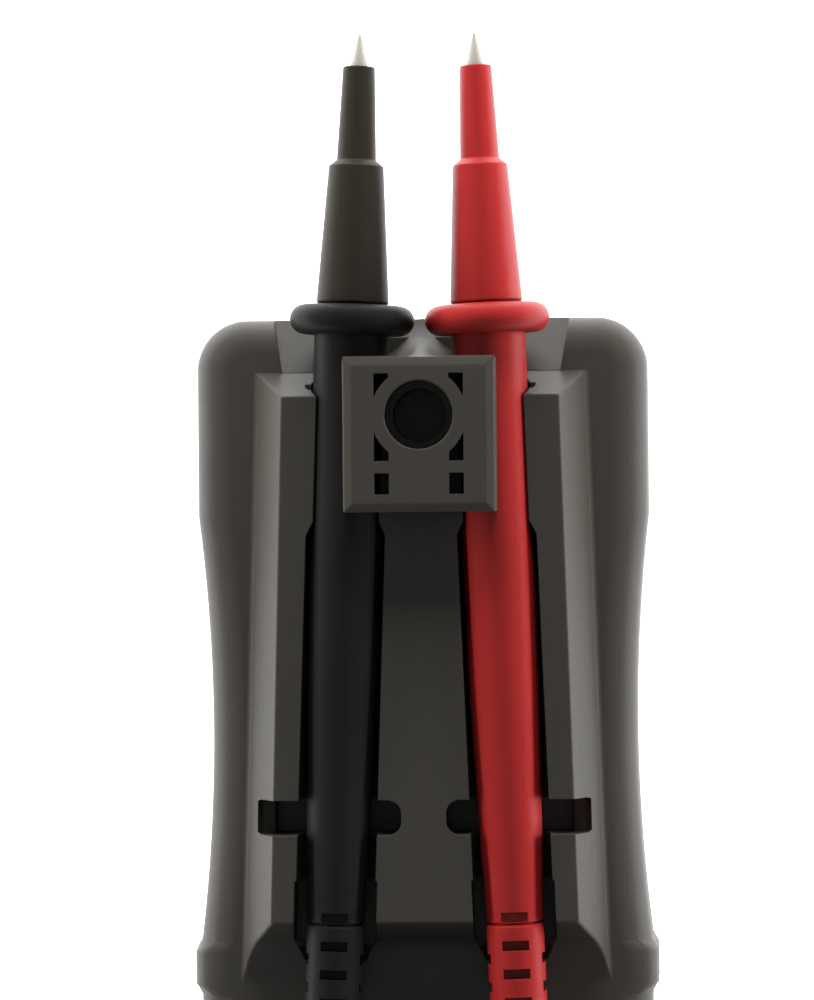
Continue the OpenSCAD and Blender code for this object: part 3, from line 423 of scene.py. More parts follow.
def platform_rings(h):
    """The dock platform, from its foot in the shell up to its flat: sloping sides that meet in creases."""
    base = h.back_z - 0.02

    def slope(run, foot):
        points = [(-2.0, h.platform_z), (0.0, h.platform_z), (run, base), (run + 8.0, base)]
        return soften(points, {1: h.brow_r, 2: foot}, 12)[1:-1] + [(run - 0.7, base - 1)]

    def run_at(profile, z):
        for (r0, z0), (r1, z1) in zip(profile, profile[1:]):
            if z1 <= z <= z0 and z0 - z1 > 1e-6:
                return r0 + (r1 - r0) * (z0 - z) / (z0 - z1)
        return profile[0][0]

    runs = (
        (h.side_slope_top, h.hollow_r),
        (h.side_slope_foot, h.hollow_r),
        (h.platform_top_slope, 0.1),
        (h.platform_foot_slope, h.foot_hollow_r),
    )
    profiles = [slope(run, foot) for run, foot in runs]
    heights = sorted({round(z, 4) for profile in profiles for _, z in profile if z > base + 1e-3})
    rings = []
    for z in [base - 1, base] + heights:
        if z <= base:
            st, sf, pt, pf = [profile[-1 if z < base else -2][0] for profile in profiles]
        else:
            st, sf, pt, pf = [run_at(profile, z) for profile in profiles]
        a, b = h.platform_top_w / 2 + st, h.platform_foot_w / 2 + sf
        y1 = h.top_y - h.platform_t - h.platform_top_slope + pt
        y0 = h.top_y - h.platform_end_t - pf
        corners = [(b, y0), (a, y1), (-a, y1), (-b, y0)]
        rings.append([(x, y, z) for x, y in soften(corners, dict.fromkeys(range(4), 0.3), 4)])
    return rings


def on_axis(p, side, back):
    """The point on a docked probe's axis that lies so far back from its finger guard."""
    return side * (p.guard_x + math.sin(p.lean) * back), p.guard_y - math.cos(p.lean) * back, p.axis_z


def channel_forms(h, p, side):
    """What one docked probe takes from the platform: its bed, its slot, the room for its strain relief and more."""

    def strip(rows):
        """A plan that follows the probe, from rows of place and half width."""
        edges = []
        for sign, part in ((-1, rows), (1, rows[::-1])):
            for t, half in part:
                middle = p.guard_x + math.tan(p.lean) * (t - (h.top_y - p.guard_y))
                edges.append((middle + sign * half, h.top_y - t))
        return edges

    r = p.handle_r + BED_PLAY
    end = h.platform_end_t + h.platform_foot_slope + 0.5
    bed = rod_form("bed", r, on_axis(p, side, end - (h.top_y - p.guard_y)), on_axis(p, side, -4), 128)

    wide = h.channel_w / 2
    plan = strip([(h.widening_t, r * 0.815), (h.widening_t + h.widening_l, wide), (h.channel_end_t, wide)])
    slot = prism_form("slot", soften(plan, {1: 0.5, 4: 0.5}, 4), p.axis_z, OPEN_Z, side < 0)

    plan = strip([(h.relief_t, h.relief_w / 2), (h.channel_end_t, h.relief_w / 2)])
    room = prism_form("room", soften(plan, {1: 1.1, 2: 1.1}, 5), p.axis_z - r + 0.45, OPEN_Z, side < 0)

    # The small round notch in the ridge beside the finger guard
    notch = drill_form("notch", 0.55, side * 12.3, h.top_y - 7.9, h.back_z + 3, segments=32)

    # The cross slot, with a shelf and a rise at its outer end
    w = h.cross_slot_l / 2
    x0, x1, z, y = h.cross_slot_inner, h.cross_slot_outer, h.cross_slot_z, h.top_y - h.cross_slot_t
    plan = soften([(x0, y - w), (x1, y - w), (x1, y + w), (x0, y + w)], {0: 1.5, 1: 0.9, 2: 0.9, 3: 1.5}, 8)
    cross = prism_form("cross", plan, z, OPEN_Z, side < 0)
    shelf = [(x1 - 2.3, z - 1), (x1 - 2.3, z + 2.4), (x1 - 0.7, z + 3.0), (x1 + 0.1, z + 4.2), (x1 + 0.1, z - 1)]
    shelf = soften(shelf, {1: 0.3, 2: 1.2}, 4)
    rise = ring_form("rise", [[(x, yy, zz) for x, zz in shelf] for yy in (y - w - 1, y + w + 1)], side < 0)
    return [bed, slot, room, notch, combine(cross, rise)]


def tongue_forms(h, play, high):
    """The two tongues under the dock block or, with some play, their seats in the platform."""
    return [
        box_form("tongue", 4.4 + 2 * play, t - play, t + 1.4 + play, h.platform_z - 4 - play, high)
        for t in (h.block_t + 1.6, h.block_t + h.block_l - 4.4)
    ]


def barrier_form(h):
    """The hand barrier: a band that stands over the shell's rounded rim."""
    t0, t1, bevel = h.barrier_t, h.barrier_t + h.barrier_l, h.barrier_chamfer
    edge = [(bevel, t0), (0, t0 + bevel), (0, t1 - bevel), (bevel, t1)]
    # Depths under the back's face, and how far the band has drawn in there
    rim = ((3.0, 0.3), (1.6, 0.65), (0.7, 1.4), (0.2, 2.4), (0.02, 3.4))
    rings = []
    for z, inset in [(h.split_z + 0.5, 0.03)] + [(h.back_z - depth, inset) for depth, inset in rim]:
        half = h.barrier_w / 2 - inset
        side = [(half - back, h.top_y - t) for back, t in edge]
        rings.append([(x, y, z) for x, y in side[::-1] + [(-x, y) for x, y in side]])
    return ring_form("hand_barrier", rings)


def ledge_form(h):
    """What the sloping ledge under the finger guards takes from the shell."""
    low, high = h.back_z - h.platform_t - 1.0, h.back_z + 0.05
    rows = []
    for t, z in ((-1.0, low), (h.platform_t, high), (h.platform_t, OPEN_Z), (-1.0, OPEN_Z)):
        rows.append((t, z, (h.ledge_top_w + (h.ledge_foot_w - h.ledge_top_w) * (t / h.platform_t)) / 2))
    return ring_form("ledge", [[(sign * w, h.top_y - t, z) for t, z, w in rows] for sign in (-1, 1)])


def rear_shell(h, p):
    """The back shell: rounded skin, dock platform and channels, ledge, battery bay, and the screw and gland holes."""
    top, foot, r = h.top_y, h.top_y - h.body_l, h.back_edge_r
    levels = [(h.split_z, 0.0)]
    for a in [math.radians(90 * k / 14) for k in range(15)]:
        levels.append((h.back_z - r + r * math.sin(a), h.wall_draft + r * (1 - math.cos(a))))
    shell = ring_form("rear_shell", [[(x, y, z) for x, y in housing_outline(h, inset)] for z, inset in levels])
    shell = combine(shell, barrier_form(h), operation="UNION")
    shell = combine(shell, ledge_form(h))
    shell = combine(shell, ring_form("platform", platform_rings(h)), operation="UNION")
    # The pedestal fills the gap between the probes at the platform's edge
    gap = 2 * (p.guard_x + math.tan(p.lean) * 5 - p.handle_r) + 2.2
    pedestal = box_form("pedestal", gap, h.block_t, h.platform_t + 5.6, h.ledge_z - 0.5, h.platform_z)
    shell = combine(shell, pedestal, operation="UNION")

    # The hollow, lower under the ledge, and what stands in it
    plan, flat_t = housing_outline(h, h.wall), h.platform_t + h.platform_top_slope
    inner = ring_form("cavity", [[(x, y, z) for x, y in plan] for z in (h.split_z - 1, h.ceiling_z)])
    inner = combine(inner, box_form("under_ledge", 60, -1, flat_t, h.ledge_z - 2 * h.wall, OPEN_Z))
    shell = combine(shell, inner)
    bay = (h.bay_foot_t - h.bay_l, h.bay_foot_t)
    door = (h.door_t, h.door_t + h.door_l)
    rim, inside, screw_y = 1.2, h.ceiling_z + 0.5, top - h.door_screw_t
    screws = [
        (side * x, top - t)
        for x, t in ((h.top_screw_x, h.top_screw_t), (h.foot_screw_x, h.body_l - h.foot_screw_y))
        for side in (-1, 1)
    ]
    shell = combine(
        shell,
        box_form("bay_walls", h.bay_w + 2 * rim, bay[0] - rim, bay[1] + rim, h.bay_z - rim, inside),
        box_form("door_pan", h.door_w + 2 * rim, door[0] - rim, door[1] + rim, h.back_z - 3.2, inside),
        drill_form("door_boss", 3.6, 0, screw_y, h.bay_z, inside, 96),
        *[drill_form("boss", 4.8, x, y, 16.8, inside) for x, y in screws],
        operation="UNION",
    )

    for side in (-1, 1):
        shell = combine(shell, *channel_forms(h, p, side))
    shell = combine(
        shell,
        box_form("saddle_seat", h.saddle_w + 2 * SEAT_PLAY, -1, h.block_t, h.ledge_z, OPEN_Z),
        drill_form("core_hole", h.core_hole_r, 0, top - h.block_t - h.socket_t, h.platform_z - 5, segments=96),
        box_form("bay", h.bay_w, bay[0], bay[1], h.bay_z, OPEN_Z),
        box_form("door_seat", h.door_w + 0.4, door[0] - 0.2, door[1] + 0.2, h.back_z - 2, OPEN_Z),
        *tongue_forms(h, SEAT_PLAY, OPEN_Z),
        drill_form("door_screw_hole", 1.45, 0, screw_y, h.bay_z + 0.5, segments=48),
    )
    for x, y in screws:
        shank = drill_form("shank", 1.52, x, y, h.split_z - 1, segments=32)
        shell = combine(shell, shank, drill_form("head_seat", 2.72, x, y, h.ceiling_z - 1.1))
    # Half of each gland's way through the foot: radius, start and end
    for x in (-6, 6):
        for radius, y0, y1 in ((3.66, -1, 7), (4.66, 2.14, 6.6)):
            shell = combine(shell, rod_form("way", radius, (x, foot + y0, h.split_z), (x, foot + y1, h.split_z), 64))
    return shell


def saddle_form(h):
    """The neck of the dock block: it sweeps up from the ledge in a narrow ridge and flares to the block's width."""
    # How far the ridge has swept back at each share of its height
    sweep = ((0.0, 0.04), (0.05, 0.24), (0.13, 0.46), (0.24, 0.62), (0.4, 0.76), (0.6, 0.88), (0.8, 0.95), (1.0, 1.0))
    low, high = h.ledge_z - 1.5, h.block_z - h.bevel_drop
    levels, count = 36, 24
    rings = []
    for k in range(levels + 1):
        share = k / levels
        z = low + (high - h.ledge_z + 1.5) * share
        pair = next(i for i in range(1, len(sweep)) if sweep[i][0] >= share or i == len(sweep) - 1)
        (a, ta), (b, tb) = sweep[pair - 1], sweep[pair]
        ridge = h.block_t * (ta + (tb - ta) * (share - a) / (b - a))
        # As wide as its seat between the handles, and as the block above them
        grow = min(1.0, max(0.0, (z - 31.6) / 2.6))
        half = h.saddle_w / 2 + (h.block_w / 2 - h.saddle_w / 2) * grow**0.8
        # The ridge is broad at the ledge, narrow in the middle and broad again under the block
        narrow = h.ridge_w * (1 + 1.1 * max(0.0, (26.5 - z) / 4.5) ** 1.5 + 1.2 * max(0.0, (z - 31.5) / 5.5) ** 1.5)
        lip = h.neck_lip * max(0.0, 1 - ((z - 33.5) / (high - 33.5)) ** 2) if z > 32 else 0.0
        ring = []
        for u in [j / count for j in range(-count, count + 1)]:
            bump = ridge + (h.block_t - ridge) * (1 - math.exp(-((u * half / narrow) ** 2)))
            ring.append((half * u, h.top_y - min(bump, h.block_t - lip)))
        ring += [(half, h.top_y - h.block_t - 0.6), (-half, h.top_y - h.block_t - 0.6)]
        rings.append([(x, y, z) for x, y in ring])
    return ring_form("saddle", rings)


def dock_block_form(h, p):
    """The block over the probes: drafted sides, bevelled edges, socket, windows and the neck that carries it."""
    y1, y0, w = h.top_y - h.block_t, h.top_y - h.block_t - h.block_l, h.block_w / 2
    rings = []
    for z, out in (
        (h.platform_z, h.block_draft),
        (h.block_z - h.bevel_drop - 0.08, 0.0),
        (h.block_z - h.bevel_drop + 0.03, -0.07),
        (h.block_z - 0.06, -h.block_bevel + 0.12),
        (h.block_z - 0.02, -h.block_bevel),
        (h.block_z, -h.block_bevel - 0.12),
    ):
        lift = min(out, 0)
        corners = [(w + out, y0 - lift), (w + out, y1 + lift), (-w - out, y1 + lift), (-w - out, y0 - lift)]
        rings.append([(x, y, z) for x, y in soften(corners, dict.fromkeys(range(4), 0.16), 4)])
    block = combine(ring_form("block_with_neck", rings), saddle_form(h), operation="UNION")
    block = combine(block, *tongue_forms(h, 0, h.platform_z + 1), operation="UNION")
    socket_y, bed_r, low = y1 - h.socket_t, p.handle_r + BED_PLAY, h.platform_z - 1
    for side in (-1, 1):
        bed = rod_form("bed", bed_r, on_axis(p, side, 40), on_axis(p, side, -4), 128)
        # Outside the probe's axis nothing hangs down beside the bed
        middle = side * (p.guard_x + 0.16 + w / 2)
        clear = box_form("clear", w, h.block_t - 1, h.block_t + h.block_l + 1, low, p.axis_z + bed_r, middle)
        x, t0 = side * h.window_x, h.block_t + h.window_t
        windows = box_form("windows", h.window_w, t0, t0 + h.window_long, low, OPEN_Z, x)
        # The collar round the socket hides the middle of the long window, which leaves two small ones
        windows = combine(windows, drill_form("collar", h.socket_r + h.collar_wall, 0, socket_y, 20, 50, 96))
        t0 += h.window_long + h.window_web
        last = box_form("low_window", h.window_w, t0, t0 + h.window_short, low, OPEN_Z, x)
        block = combine(block, bed, clear, windows, last)
    r, rim, core, bottom, floor = h.socket_r, 0.12, h.core_hole_r, 31, 32.5
    socket = [(0, bottom), (core, bottom), (core, floor), (r, floor), (r, h.block_z - rim), (r + rim, h.block_z)]
    bm = bmesh.new()
    turned(bm, socket + [(r + rim, OPEN_Z), (0, OPEN_Z)], Matrix.Translation((0, socket_y, 0)))
    return combine(block, form("socket", bm))


def finish_form(item, material):
    """Turns a form in millimetres into a piece's mesh: merged, with crisp edges kept and broad faces kept flat."""
    bm = bmesh.new()
    bm.from_mesh(item.data)
    bmesh.ops.remove_doubles(bm, verts=bm.verts, dist=0.003)
    bmesh.ops.dissolve_degenerate(bm, edges=bm.edges, dist=0.002)
    bmesh.ops.triangulate(bm, faces=[f for f in bm.faces if len(f.verts) > 4])
    bmesh.ops.scale(bm, vec=(MM, MM, MM), verts=bm.verts)
    bm.to_mesh(item.data)
    bm.free()
    item.data.materials.clear()
    item.data.materials.append(material)
    crisp(item, 30)


def crisp(item, sharp):
    """Smooth shading that stops at edges sharper than an angle and lets the large faces set the normals."""
    item.data.shade_smooth()
    item.data.set_sharp_from_angle(angle=math.radians(sharp))
    weigh = item.modifiers.new("flat_faces_lead", "WEIGHTED_NORMAL")
    weigh.mode = "FACE_AREA"
    weigh.weight = 80
    weigh.keep_sharp = True


# Sizes and colours that a user would change


class TesterColours(bpy.types.PropertyGroup):
    """Colours of the mouldings, written as sRGB hex."""

    housing: StringProperty(name="Housing", description="Housing plastic", default="#252320")
    housing_light: StringProperty(name="Housing drift", description="Second tone of the housing", default="#292723")
    black_probe: StringProperty(name="Black probe", description="Black probe plastic", default="#191612")
    black_probe_light: StringProperty(
        name="Black probe drift", description="Second tone of the black probe", default="#1c1915"
    )
    red_probe: StringProperty(name="Red probe", description="Red probe plastic", default="#681514")
    red_probe_light: StringProperty(
        name="Red probe drift", description="Second tone of the red probe", default="#6d1716"
    )
    # The handle colours are the probe colours darkened: painted shade for the lesser light on the handles and strain
    # reliefs
    black_handle: StringProperty(name="Black handle", description="Handle of the black probe", default="#0c0b0a")
    red_handle: StringProperty(name="Red handle", description="Handle of the red probe", default="#5f1312")
    pin: StringProperty(name="Probe pin", description="Nickel plate of the pins", default="#8f8c84")
    screw: StringProperty(name="Screws", description="Zinc plate of the screws", default="#b7b8b4")
    button: StringProperty(name="Buttons", description="Keys in the front panel", default="#2c2e31")
    button_light: StringProperty(name="Button drift", description="Second tone of the keys", default="#33363a")


class ProbeSizes(bpy.types.PropertyGroup):
    """Sizes of a probe in millimetres, measured from the middle of its finger guard."""

    guard_x: FloatProperty(name="Guard offset", description="Guard's distance from the middle line", default=7.5208)
    guard_y: FloatProperty(name="Guard place", description="Guard's place along the tester", default=71.675)
    axis_z: FloatProperty(name="Axis height", description="Height of a docked probe's axis", default=29.5)
    lean: FloatProperty(name="Lean", description="Lean of a docked probe", default=math.radians(2.1), unit="ROTATION")
    guard_r: FloatProperty(name="Guard radius", description="Radius of the finger guard", default=6.95)
    guard_l: FloatProperty(name="Guard thickness", description="Thickness of the finger guard", default=3.3)
    cone_l: FloatProperty(name="Cone length", description="Length of the cone before the guard", default=16.2)
    cone_base_r: FloatProperty(name="Cone base radius", description="Cone at the guard", default=4.05)
    cone_tip_r: FloatProperty(name="Cone tip radius", description="Cone at its shoulder", default=3.06)
    shoulder_l: FloatProperty(name="Shoulder", description="Length of the slanting shoulder", default=0.7)
    sleeve_l: FloatProperty(name="Sleeve length", description="Length of the sleeve on the pin", default=10.4)
    sleeve_base_r: FloatProperty(name="Sleeve base radius", description="Sleeve at the shoulder", default=2.2)
    sleeve_tip_r: FloatProperty(name="Sleeve tip radius", description="Sleeve at its end", default=1.78)
    spigot_l: FloatProperty(name="Spigot", description="How far the nose reaches into the handle", default=8.0)
    point_l: FloatProperty(name="Bare point", description="Length of the bare point", default=3.7)
    pin_r: FloatProperty(name="Pin radius", description="Radius of the pin", default=1.0)
    handle_l: FloatProperty(name="Handle length", description="From the guard to the strain relief", default=67.0)
    handle_r: FloatProperty(name="Handle radius", description="Handle at the guard", default=4.18)
    belly_r: FloatProperty(name="Belly radius", description="Handle at its belly", default=4.05)
    handle_end_r: FloatProperty(name="Handle end radius", description="Handle at the strain relief", default=3.25)
    core_r: FloatProperty(name="Core radius", description="Bore of the handle", default=2.55)
    relief_l: FloatProperty(name="Relief length", description="Length of the strain relief", default=25.3)
    relief_r: FloatProperty(name="Relief radius", description="Strain relief at the handle", default=3.2)
    relief_end_r: FloatProperty(name="Relief end radius", description="Strain relief at its end", default=2.7)
    lead_r: FloatProperty(name="Lead radius", description="Bore for the test lead", default=1.85)
    slots: IntProperty(name="Slots", description="Slots along each side of the strain relief", default=6)
    slot_pitch: FloatProperty(name="Slot pitch", description="From one slot to the next", default=3.15)
    slot_w: FloatProperty(name="Slot width", description="Width of a slot across the relief", default=2.9)
    slot_l: FloatProperty(name="Slot length", description="Length of a slot along the relief", default=1.1)
    slot_web: FloatProperty(name="Slot web", description="Wall left under a slot", default=0.45)


class HousingSizes(bpy.types.PropertyGroup):
    """Sizes of the housing and its dock in millimetres, heights from the floor and places from the top edge."""

    top_y: FloatProperty(name="Top edge", description="Place of the top edge along the tester, mm", default=72.375)
    body_l: FloatProperty(name="Body length", description="From the top edge to the foot, mm", default=176.0)
    head_w: FloatProperty(name="Head width", description="Width at the shoulders, mm", default=51.5)
    head_l: FloatProperty(name="Head length", description="From the top edge to the waist, mm", default=22.5)
    head_corner_r: FloatProperty(name="Head corners", description="Radius of the shoulders, mm", default=6.0)
    waist_depth: FloatProperty(name="Waist depth", description="How far the waist draws in, mm", default=1.5)
    grip_w: FloatProperty(name="Grip width", description="Width under the hand barrier, mm", default=51.6)
    grip_foot_w: FloatProperty(name="Foot width", description="Width at the foot, mm", default=47.0)
    foot_corner_r: FloatProperty(name="Foot corners", description="Radius of the foot's corners, mm", default=12.0)
    barrier_t: FloatProperty(
        name="Barrier place", description="From the top edge to the hand barrier, mm", default=70.4
    )
    barrier_l: FloatProperty(name="Barrier length", description="Length of the hand barrier, mm", default=6.1)
    barrier_w: FloatProperty(name="Barrier width", description="Width over the hand barrier, mm", default=52.9)
    barrier_chamfer: FloatProperty(name="Barrier bevel", description="Bevel of the hand barrier, mm", default=1.2)
    split_z: FloatProperty(name="Split height", description="Height of the split between the shells, mm", default=15.0)
    back_z: FloatProperty(name="Back height", description="Height of the back face, mm", default=26.0)
    back_edge_r: FloatProperty(name="Back edge", description="Round of the back's rim, mm", default=4.0)
    wall: FloatProperty(name="Wall", description="Wall thickness, mm", default=2.2)
    wall_draft: FloatProperty(name="Draft", description="How far a wall leans in, mm", default=0.3)
    ceiling_z: FloatProperty(name="Ceiling", description="Height of the hollow's ceiling, mm", default=23.34)
    platform_z: FloatProperty(name="Platform height", description="Height of the dock platform, mm", default=32.0)
    platform_t: FloatProperty(
        name="Platform place", description="From the top edge to the platform's slope, mm", default=6.4
    )
    platform_top_slope: FloatProperty(name="Top slope", description="Run of the platform's top slope, mm", default=2.8)
    platform_end_t: FloatProperty(
        name="Platform end", description="From the top edge to the end of the platform's flat, mm", default=67.6
    )
    platform_foot_slope: FloatProperty(
        name="Foot slope", description="Run of the platform's foot slope, mm", default=4.3
    )
    platform_top_w: FloatProperty(
        name="Platform top width", description="Width of the flat at the top, mm", default=30.8
    )
    platform_foot_w: FloatProperty(
        name="Platform foot width", description="Width of the flat at the foot, mm", default=34.1
    )
    side_slope_top: FloatProperty(
        name="Side slope, top", description="Run of the side slope at the top, mm", default=3.0
    )
    side_slope_foot: FloatProperty(
        name="Side slope, foot", description="Run of the side slope at the foot, mm", default=3.5
    )
    brow_r: FloatProperty(name="Brow", description="Round of the platform's upper edge, mm", default=0.3)
    hollow_r: FloatProperty(name="Hollow", description="Hollow round at the foot of the side slopes, mm", default=0.9)
    foot_hollow_r: FloatProperty(
        name="Foot hollow", description="Hollow round at the foot of the end slope, mm", default=7.0
    )
    ledge_z: FloatProperty(name="Ledge height", description="Height of the ledge under the guards, mm", default=22.0)
    ledge_top_w: FloatProperty(name="Ledge width", description="Width of the ledge at the top edge, mm", default=33.6)
    ledge_foot_w: FloatProperty(
        name="Ledge inner width", description="Width of the ledge at its slope, mm", default=31.2
    )
    widening_t: FloatProperty(
        name="Widening", description="From the top edge to where the channels widen, mm", default=23.0
    )
    widening_l: FloatProperty(name="Widening length", description="Length of the widening, mm", default=1.7)
    channel_w: FloatProperty(name="Channel width", description="Width of a channel, mm", default=8.8)
    channel_end_t: FloatProperty(
        name="Channel end", description="From the top edge to the end of a channel, mm", default=70.6
    )
    relief_t: FloatProperty(
        name="Relief room", description="From the top edge to the room for a strain relief, mm", default=63.0
    )
    relief_w: FloatProperty(
        name="Relief room width", description="Width of the room for a strain relief, mm", default=9.2
    )
    cross_slot_t: FloatProperty(name="Cross slot", description="From the top edge to the cross slots, mm", default=56.0)
    cross_slot_l: FloatProperty(name="Cross slot width", description="Width of a cross slot, mm", default=3.9)
    cross_slot_inner: FloatProperty(name="Cross slot start", description="Inner end of a cross slot, mm", default=2.5)
    cross_slot_outer: FloatProperty(name="Cross slot end", description="Outer end of a cross slot, mm", default=18.9)
    cross_slot_z: FloatProperty(name="Cross slot floor", description="Height of a cross slot's floor, mm", default=24.9)
    block_w: FloatProperty(name="Block width", description="Width of the dock block, mm", default=16.6)
    block_l: FloatProperty(name="Block length", description="Length of the dock block, mm", default=17.0)
    block_t: FloatProperty(name="Block place", description="From the top edge to the dock block, mm", default=5.1)
    block_z: FloatProperty(name="Block height", description="Height of the dock block's face, mm", default=37.5)
    block_bevel: FloatProperty(name="Block bevel", description="Bevel round the block's face, mm", default=0.9)
    bevel_drop: FloatProperty(name="Bevel drop", description="How far the block's bevel falls, mm", default=0.38)
    block_draft: FloatProperty(name="Block draft", description="How far the block's sides lean, mm", default=0.35)
    saddle_w: FloatProperty(name="Neck width", description="Width of the block's neck, mm", default=8.8)
    ridge_w: FloatProperty(name="Ridge width", description="How wide the neck's ridge is, mm", default=1.55)
    neck_lip: FloatProperty(
        name="Neck lip", description="How far the neck's upper part stands before the block, mm", default=0.25
    )
    socket_r: FloatProperty(name="Socket radius", description="Radius of the round socket, mm", default=3.75)
    socket_t: FloatProperty(
        name="Socket place", description="From the block's top edge to the socket, mm", default=6.35
    )
    core_hole_r: FloatProperty(name="Core hole", description="Radius of the hole under the socket, mm", default=3.0)
    collar_wall: FloatProperty(name="Socket collar", description="Wall left round the socket, mm", default=1.5)
    window_w: FloatProperty(name="Window width", description="Width of the block's windows, mm", default=1.6)
    window_x: FloatProperty(name="Window place", description="Windows' distance from the middle, mm", default=4.1)
    window_t: FloatProperty(
        name="Window start", description="From the block's top edge to the windows, mm", default=1.8
    )
    window_long: FloatProperty(name="Long window", description="Length of the long windows, mm", default=9.6)
    window_short: FloatProperty(name="Short window", description="Length of the short windows, mm", default=2.3)
    window_web: FloatProperty(name="Window web", description="Bar between the windows, mm", default=1.35)
    top_screw_x: FloatProperty(
        name="Top screws, side", description="Upper screws' distance from the middle, mm", default=9.3286
    )
    top_screw_t: FloatProperty(
        name="Top screws, place", description="From the top edge to the upper screws, mm", default=50.0
    )
    foot_screw_x: FloatProperty(
        name="Foot screws, side", description="Foot screws' distance from the middle, mm", default=15.5
    )
    foot_screw_y: FloatProperty(
        name="Foot screws, place", description="Foot screws' distance from the foot, mm", default=8.0
    )
    door_w: FloatProperty(name="Door width", description="Width of the battery door, mm", default=30.0)
    door_t: FloatProperty(name="Door place", description="From the top edge to the door, mm", default=97.0)
    door_l: FloatProperty(name="Door length", description="Length of the battery door, mm", default=64.0)
    door_screw_t: FloatProperty(
        name="Door screw", description="From the top edge to the door's screw, mm", default=102.5
    )
    bay_w: FloatProperty(name="Bay width", description="Width of the battery bay, mm", default=26.0)
    bay_l: FloatProperty(name="Bay length", description="Length of the battery bay, mm", default=51.0)
    bay_foot_t: FloatProperty(name="Bay foot", description="From the top edge to the end of the bay, mm", default=159.0)
    bay_z: FloatProperty(name="Bay floor", description="Height of the bay's floor, mm", default=13.0)
    ease: FloatProperty(name="Edge round", description="Round on the housing's sharp edges, mm", default=0.22)
    small_ease: FloatProperty(name="Small edge round", description="Round on doors and keys, mm", default=0.18)


class StudioSizes(bpy.types.PropertyGroup):
    """The camera's place and the strength of the lamps."""

    target_x: FloatProperty(name="Target across", description="What the camera looks at, in mm", default=-1.59)
    target_y: FloatProperty(name="Target along", description="What the camera looks at, in mm", default=51.6)
    target_z: FloatProperty(name="Target height", description="What the camera looks at, in mm", default=29.5)
    distance: FloatProperty(name="Distance", description="Camera distance in mm", default=450.0)
    yaw: FloatProperty(
        name="Yaw", description="Camera's turn to the red side", default=math.radians(1.86), unit="ROTATION"
    )
    roll: FloatProperty(name="Roll", description="Camera's roll", default=math.radians(0.54), unit="ROTATION")
    view_height: FloatProperty(name="View height", description="Height of the view at the target, in mm", default=111.4)
    side_watts: FloatProperty(name="Side lamps", description="Power of each side lamp", default=9.5)
    top_watts: FloatProperty(name="Top lamp", description="Power of the lamp beyond the tips", default=12.0)
    sky: FloatProperty(name="Sky", description="Even light from all round", default=0.17)
    sky_gloss: FloatProperty(
        name="Sky in gloss", description="How bright the room is in the gloss of the pieces", default=0.38
    )


# Pieces

# Every material by the slot that it finishes: main fills it
FINISH = {}


def probe_place(side):
    """From a probe's own axis, with its tip along +Z, to its docked place. Side is 1 for red and -1 for black."""
    p = bpy.context.scene.tester_probe
    s, c = math.sin(p.lean) * side, math.cos(p.lean)
    turn = Matrix(((c, 0, -s), (s, 0, c), (0, -1, 0)))
    return Matrix.Translation((side * p.guard_x, p.guard_y, p.axis_z)) @ turn.to_4x4()


SIDES = (("black", -1), ("red", 1))


class TESTER_OT_housing(bpy.types.Operator):
    """Make the two housing shells with eased edges"""

    bl_idname = "tester.housing"
    bl_label = "Housing shells"

    def execute(self, context):
        h = context.scene.tester_housing
        shell = rear_shell(h, context.scene.tester_probe)
        finish_form(shell, FINISH["housing"])
        settle(shell, "tester_body", ["rear_housing"])
        eased("front_housing", "front_shell", FINISH["housing"], "tester_body", h.ease)
        return {"FINISHED"}


class TESTER_OT_dock_block(bpy.types.Operator):
    """Make the block that holds both probes in their dock"""

    bl_idname = "tester.dock_block"
    bl_label = "Dock block"

    def execute(self, context):
        block = dock_block_form(context.scene.tester_housing, context.scene.tester_probe)
        finish_form(block, FINISH["housing"])
        settle(block, "tester_body", ["dock_block"])
        return {"FINISHED"}


class TESTER_OT_probe_pins(bpy.types.Operator):
    """Make the two plated pins with their turned points"""

    bl_idname = "tester.probe_pins"
    bl_label = "Probe pins"

    def execute(self, context):
        p = context.scene.tester_probe
        sleeve_end = p.guard_l / 2 + p.cone_l + p.sleeve_l
        root = p.guard_l / 2 - p.spigot_l
        for name, side in SIDES:
            profile = soften(
                [
                    (0, root - 16),
                    (p.pin_r * 1.5, root - 16),
                    (p.pin_r * 1.5, root - p.pin_r),
                    (p.core_r - 0.12, root - p.pin_r),
                    (p.core_r - 0.12, root),
                    (p.pin_r, root),
                    (p.pin_r, sleeve_end),
                    (p.pin_r * 0.97, sleeve_end + p.point_l * 0.08),
                    (p.pin_r * 0.9, sleeve_end + p.point_l * 0.18),
                    (p.pin_r * 0.2, sleeve_end + p.point_l * 0.93),
                    (p.pin_r * 0.1, sleeve_end + p.point_l * 0.98),
                    (0, sleeve_end + p.point_l),
                ],
                {1: 0.3},
            )
            bm = bmesh.new()
            turned(bm, profile, probe_place(side), 64)
            mesh_object(f"{name}_pin", bm, FINISH["plated_pin"], f"{name}_probe", [f"{name}_probe_pin"])
        return {"FINISHED"}


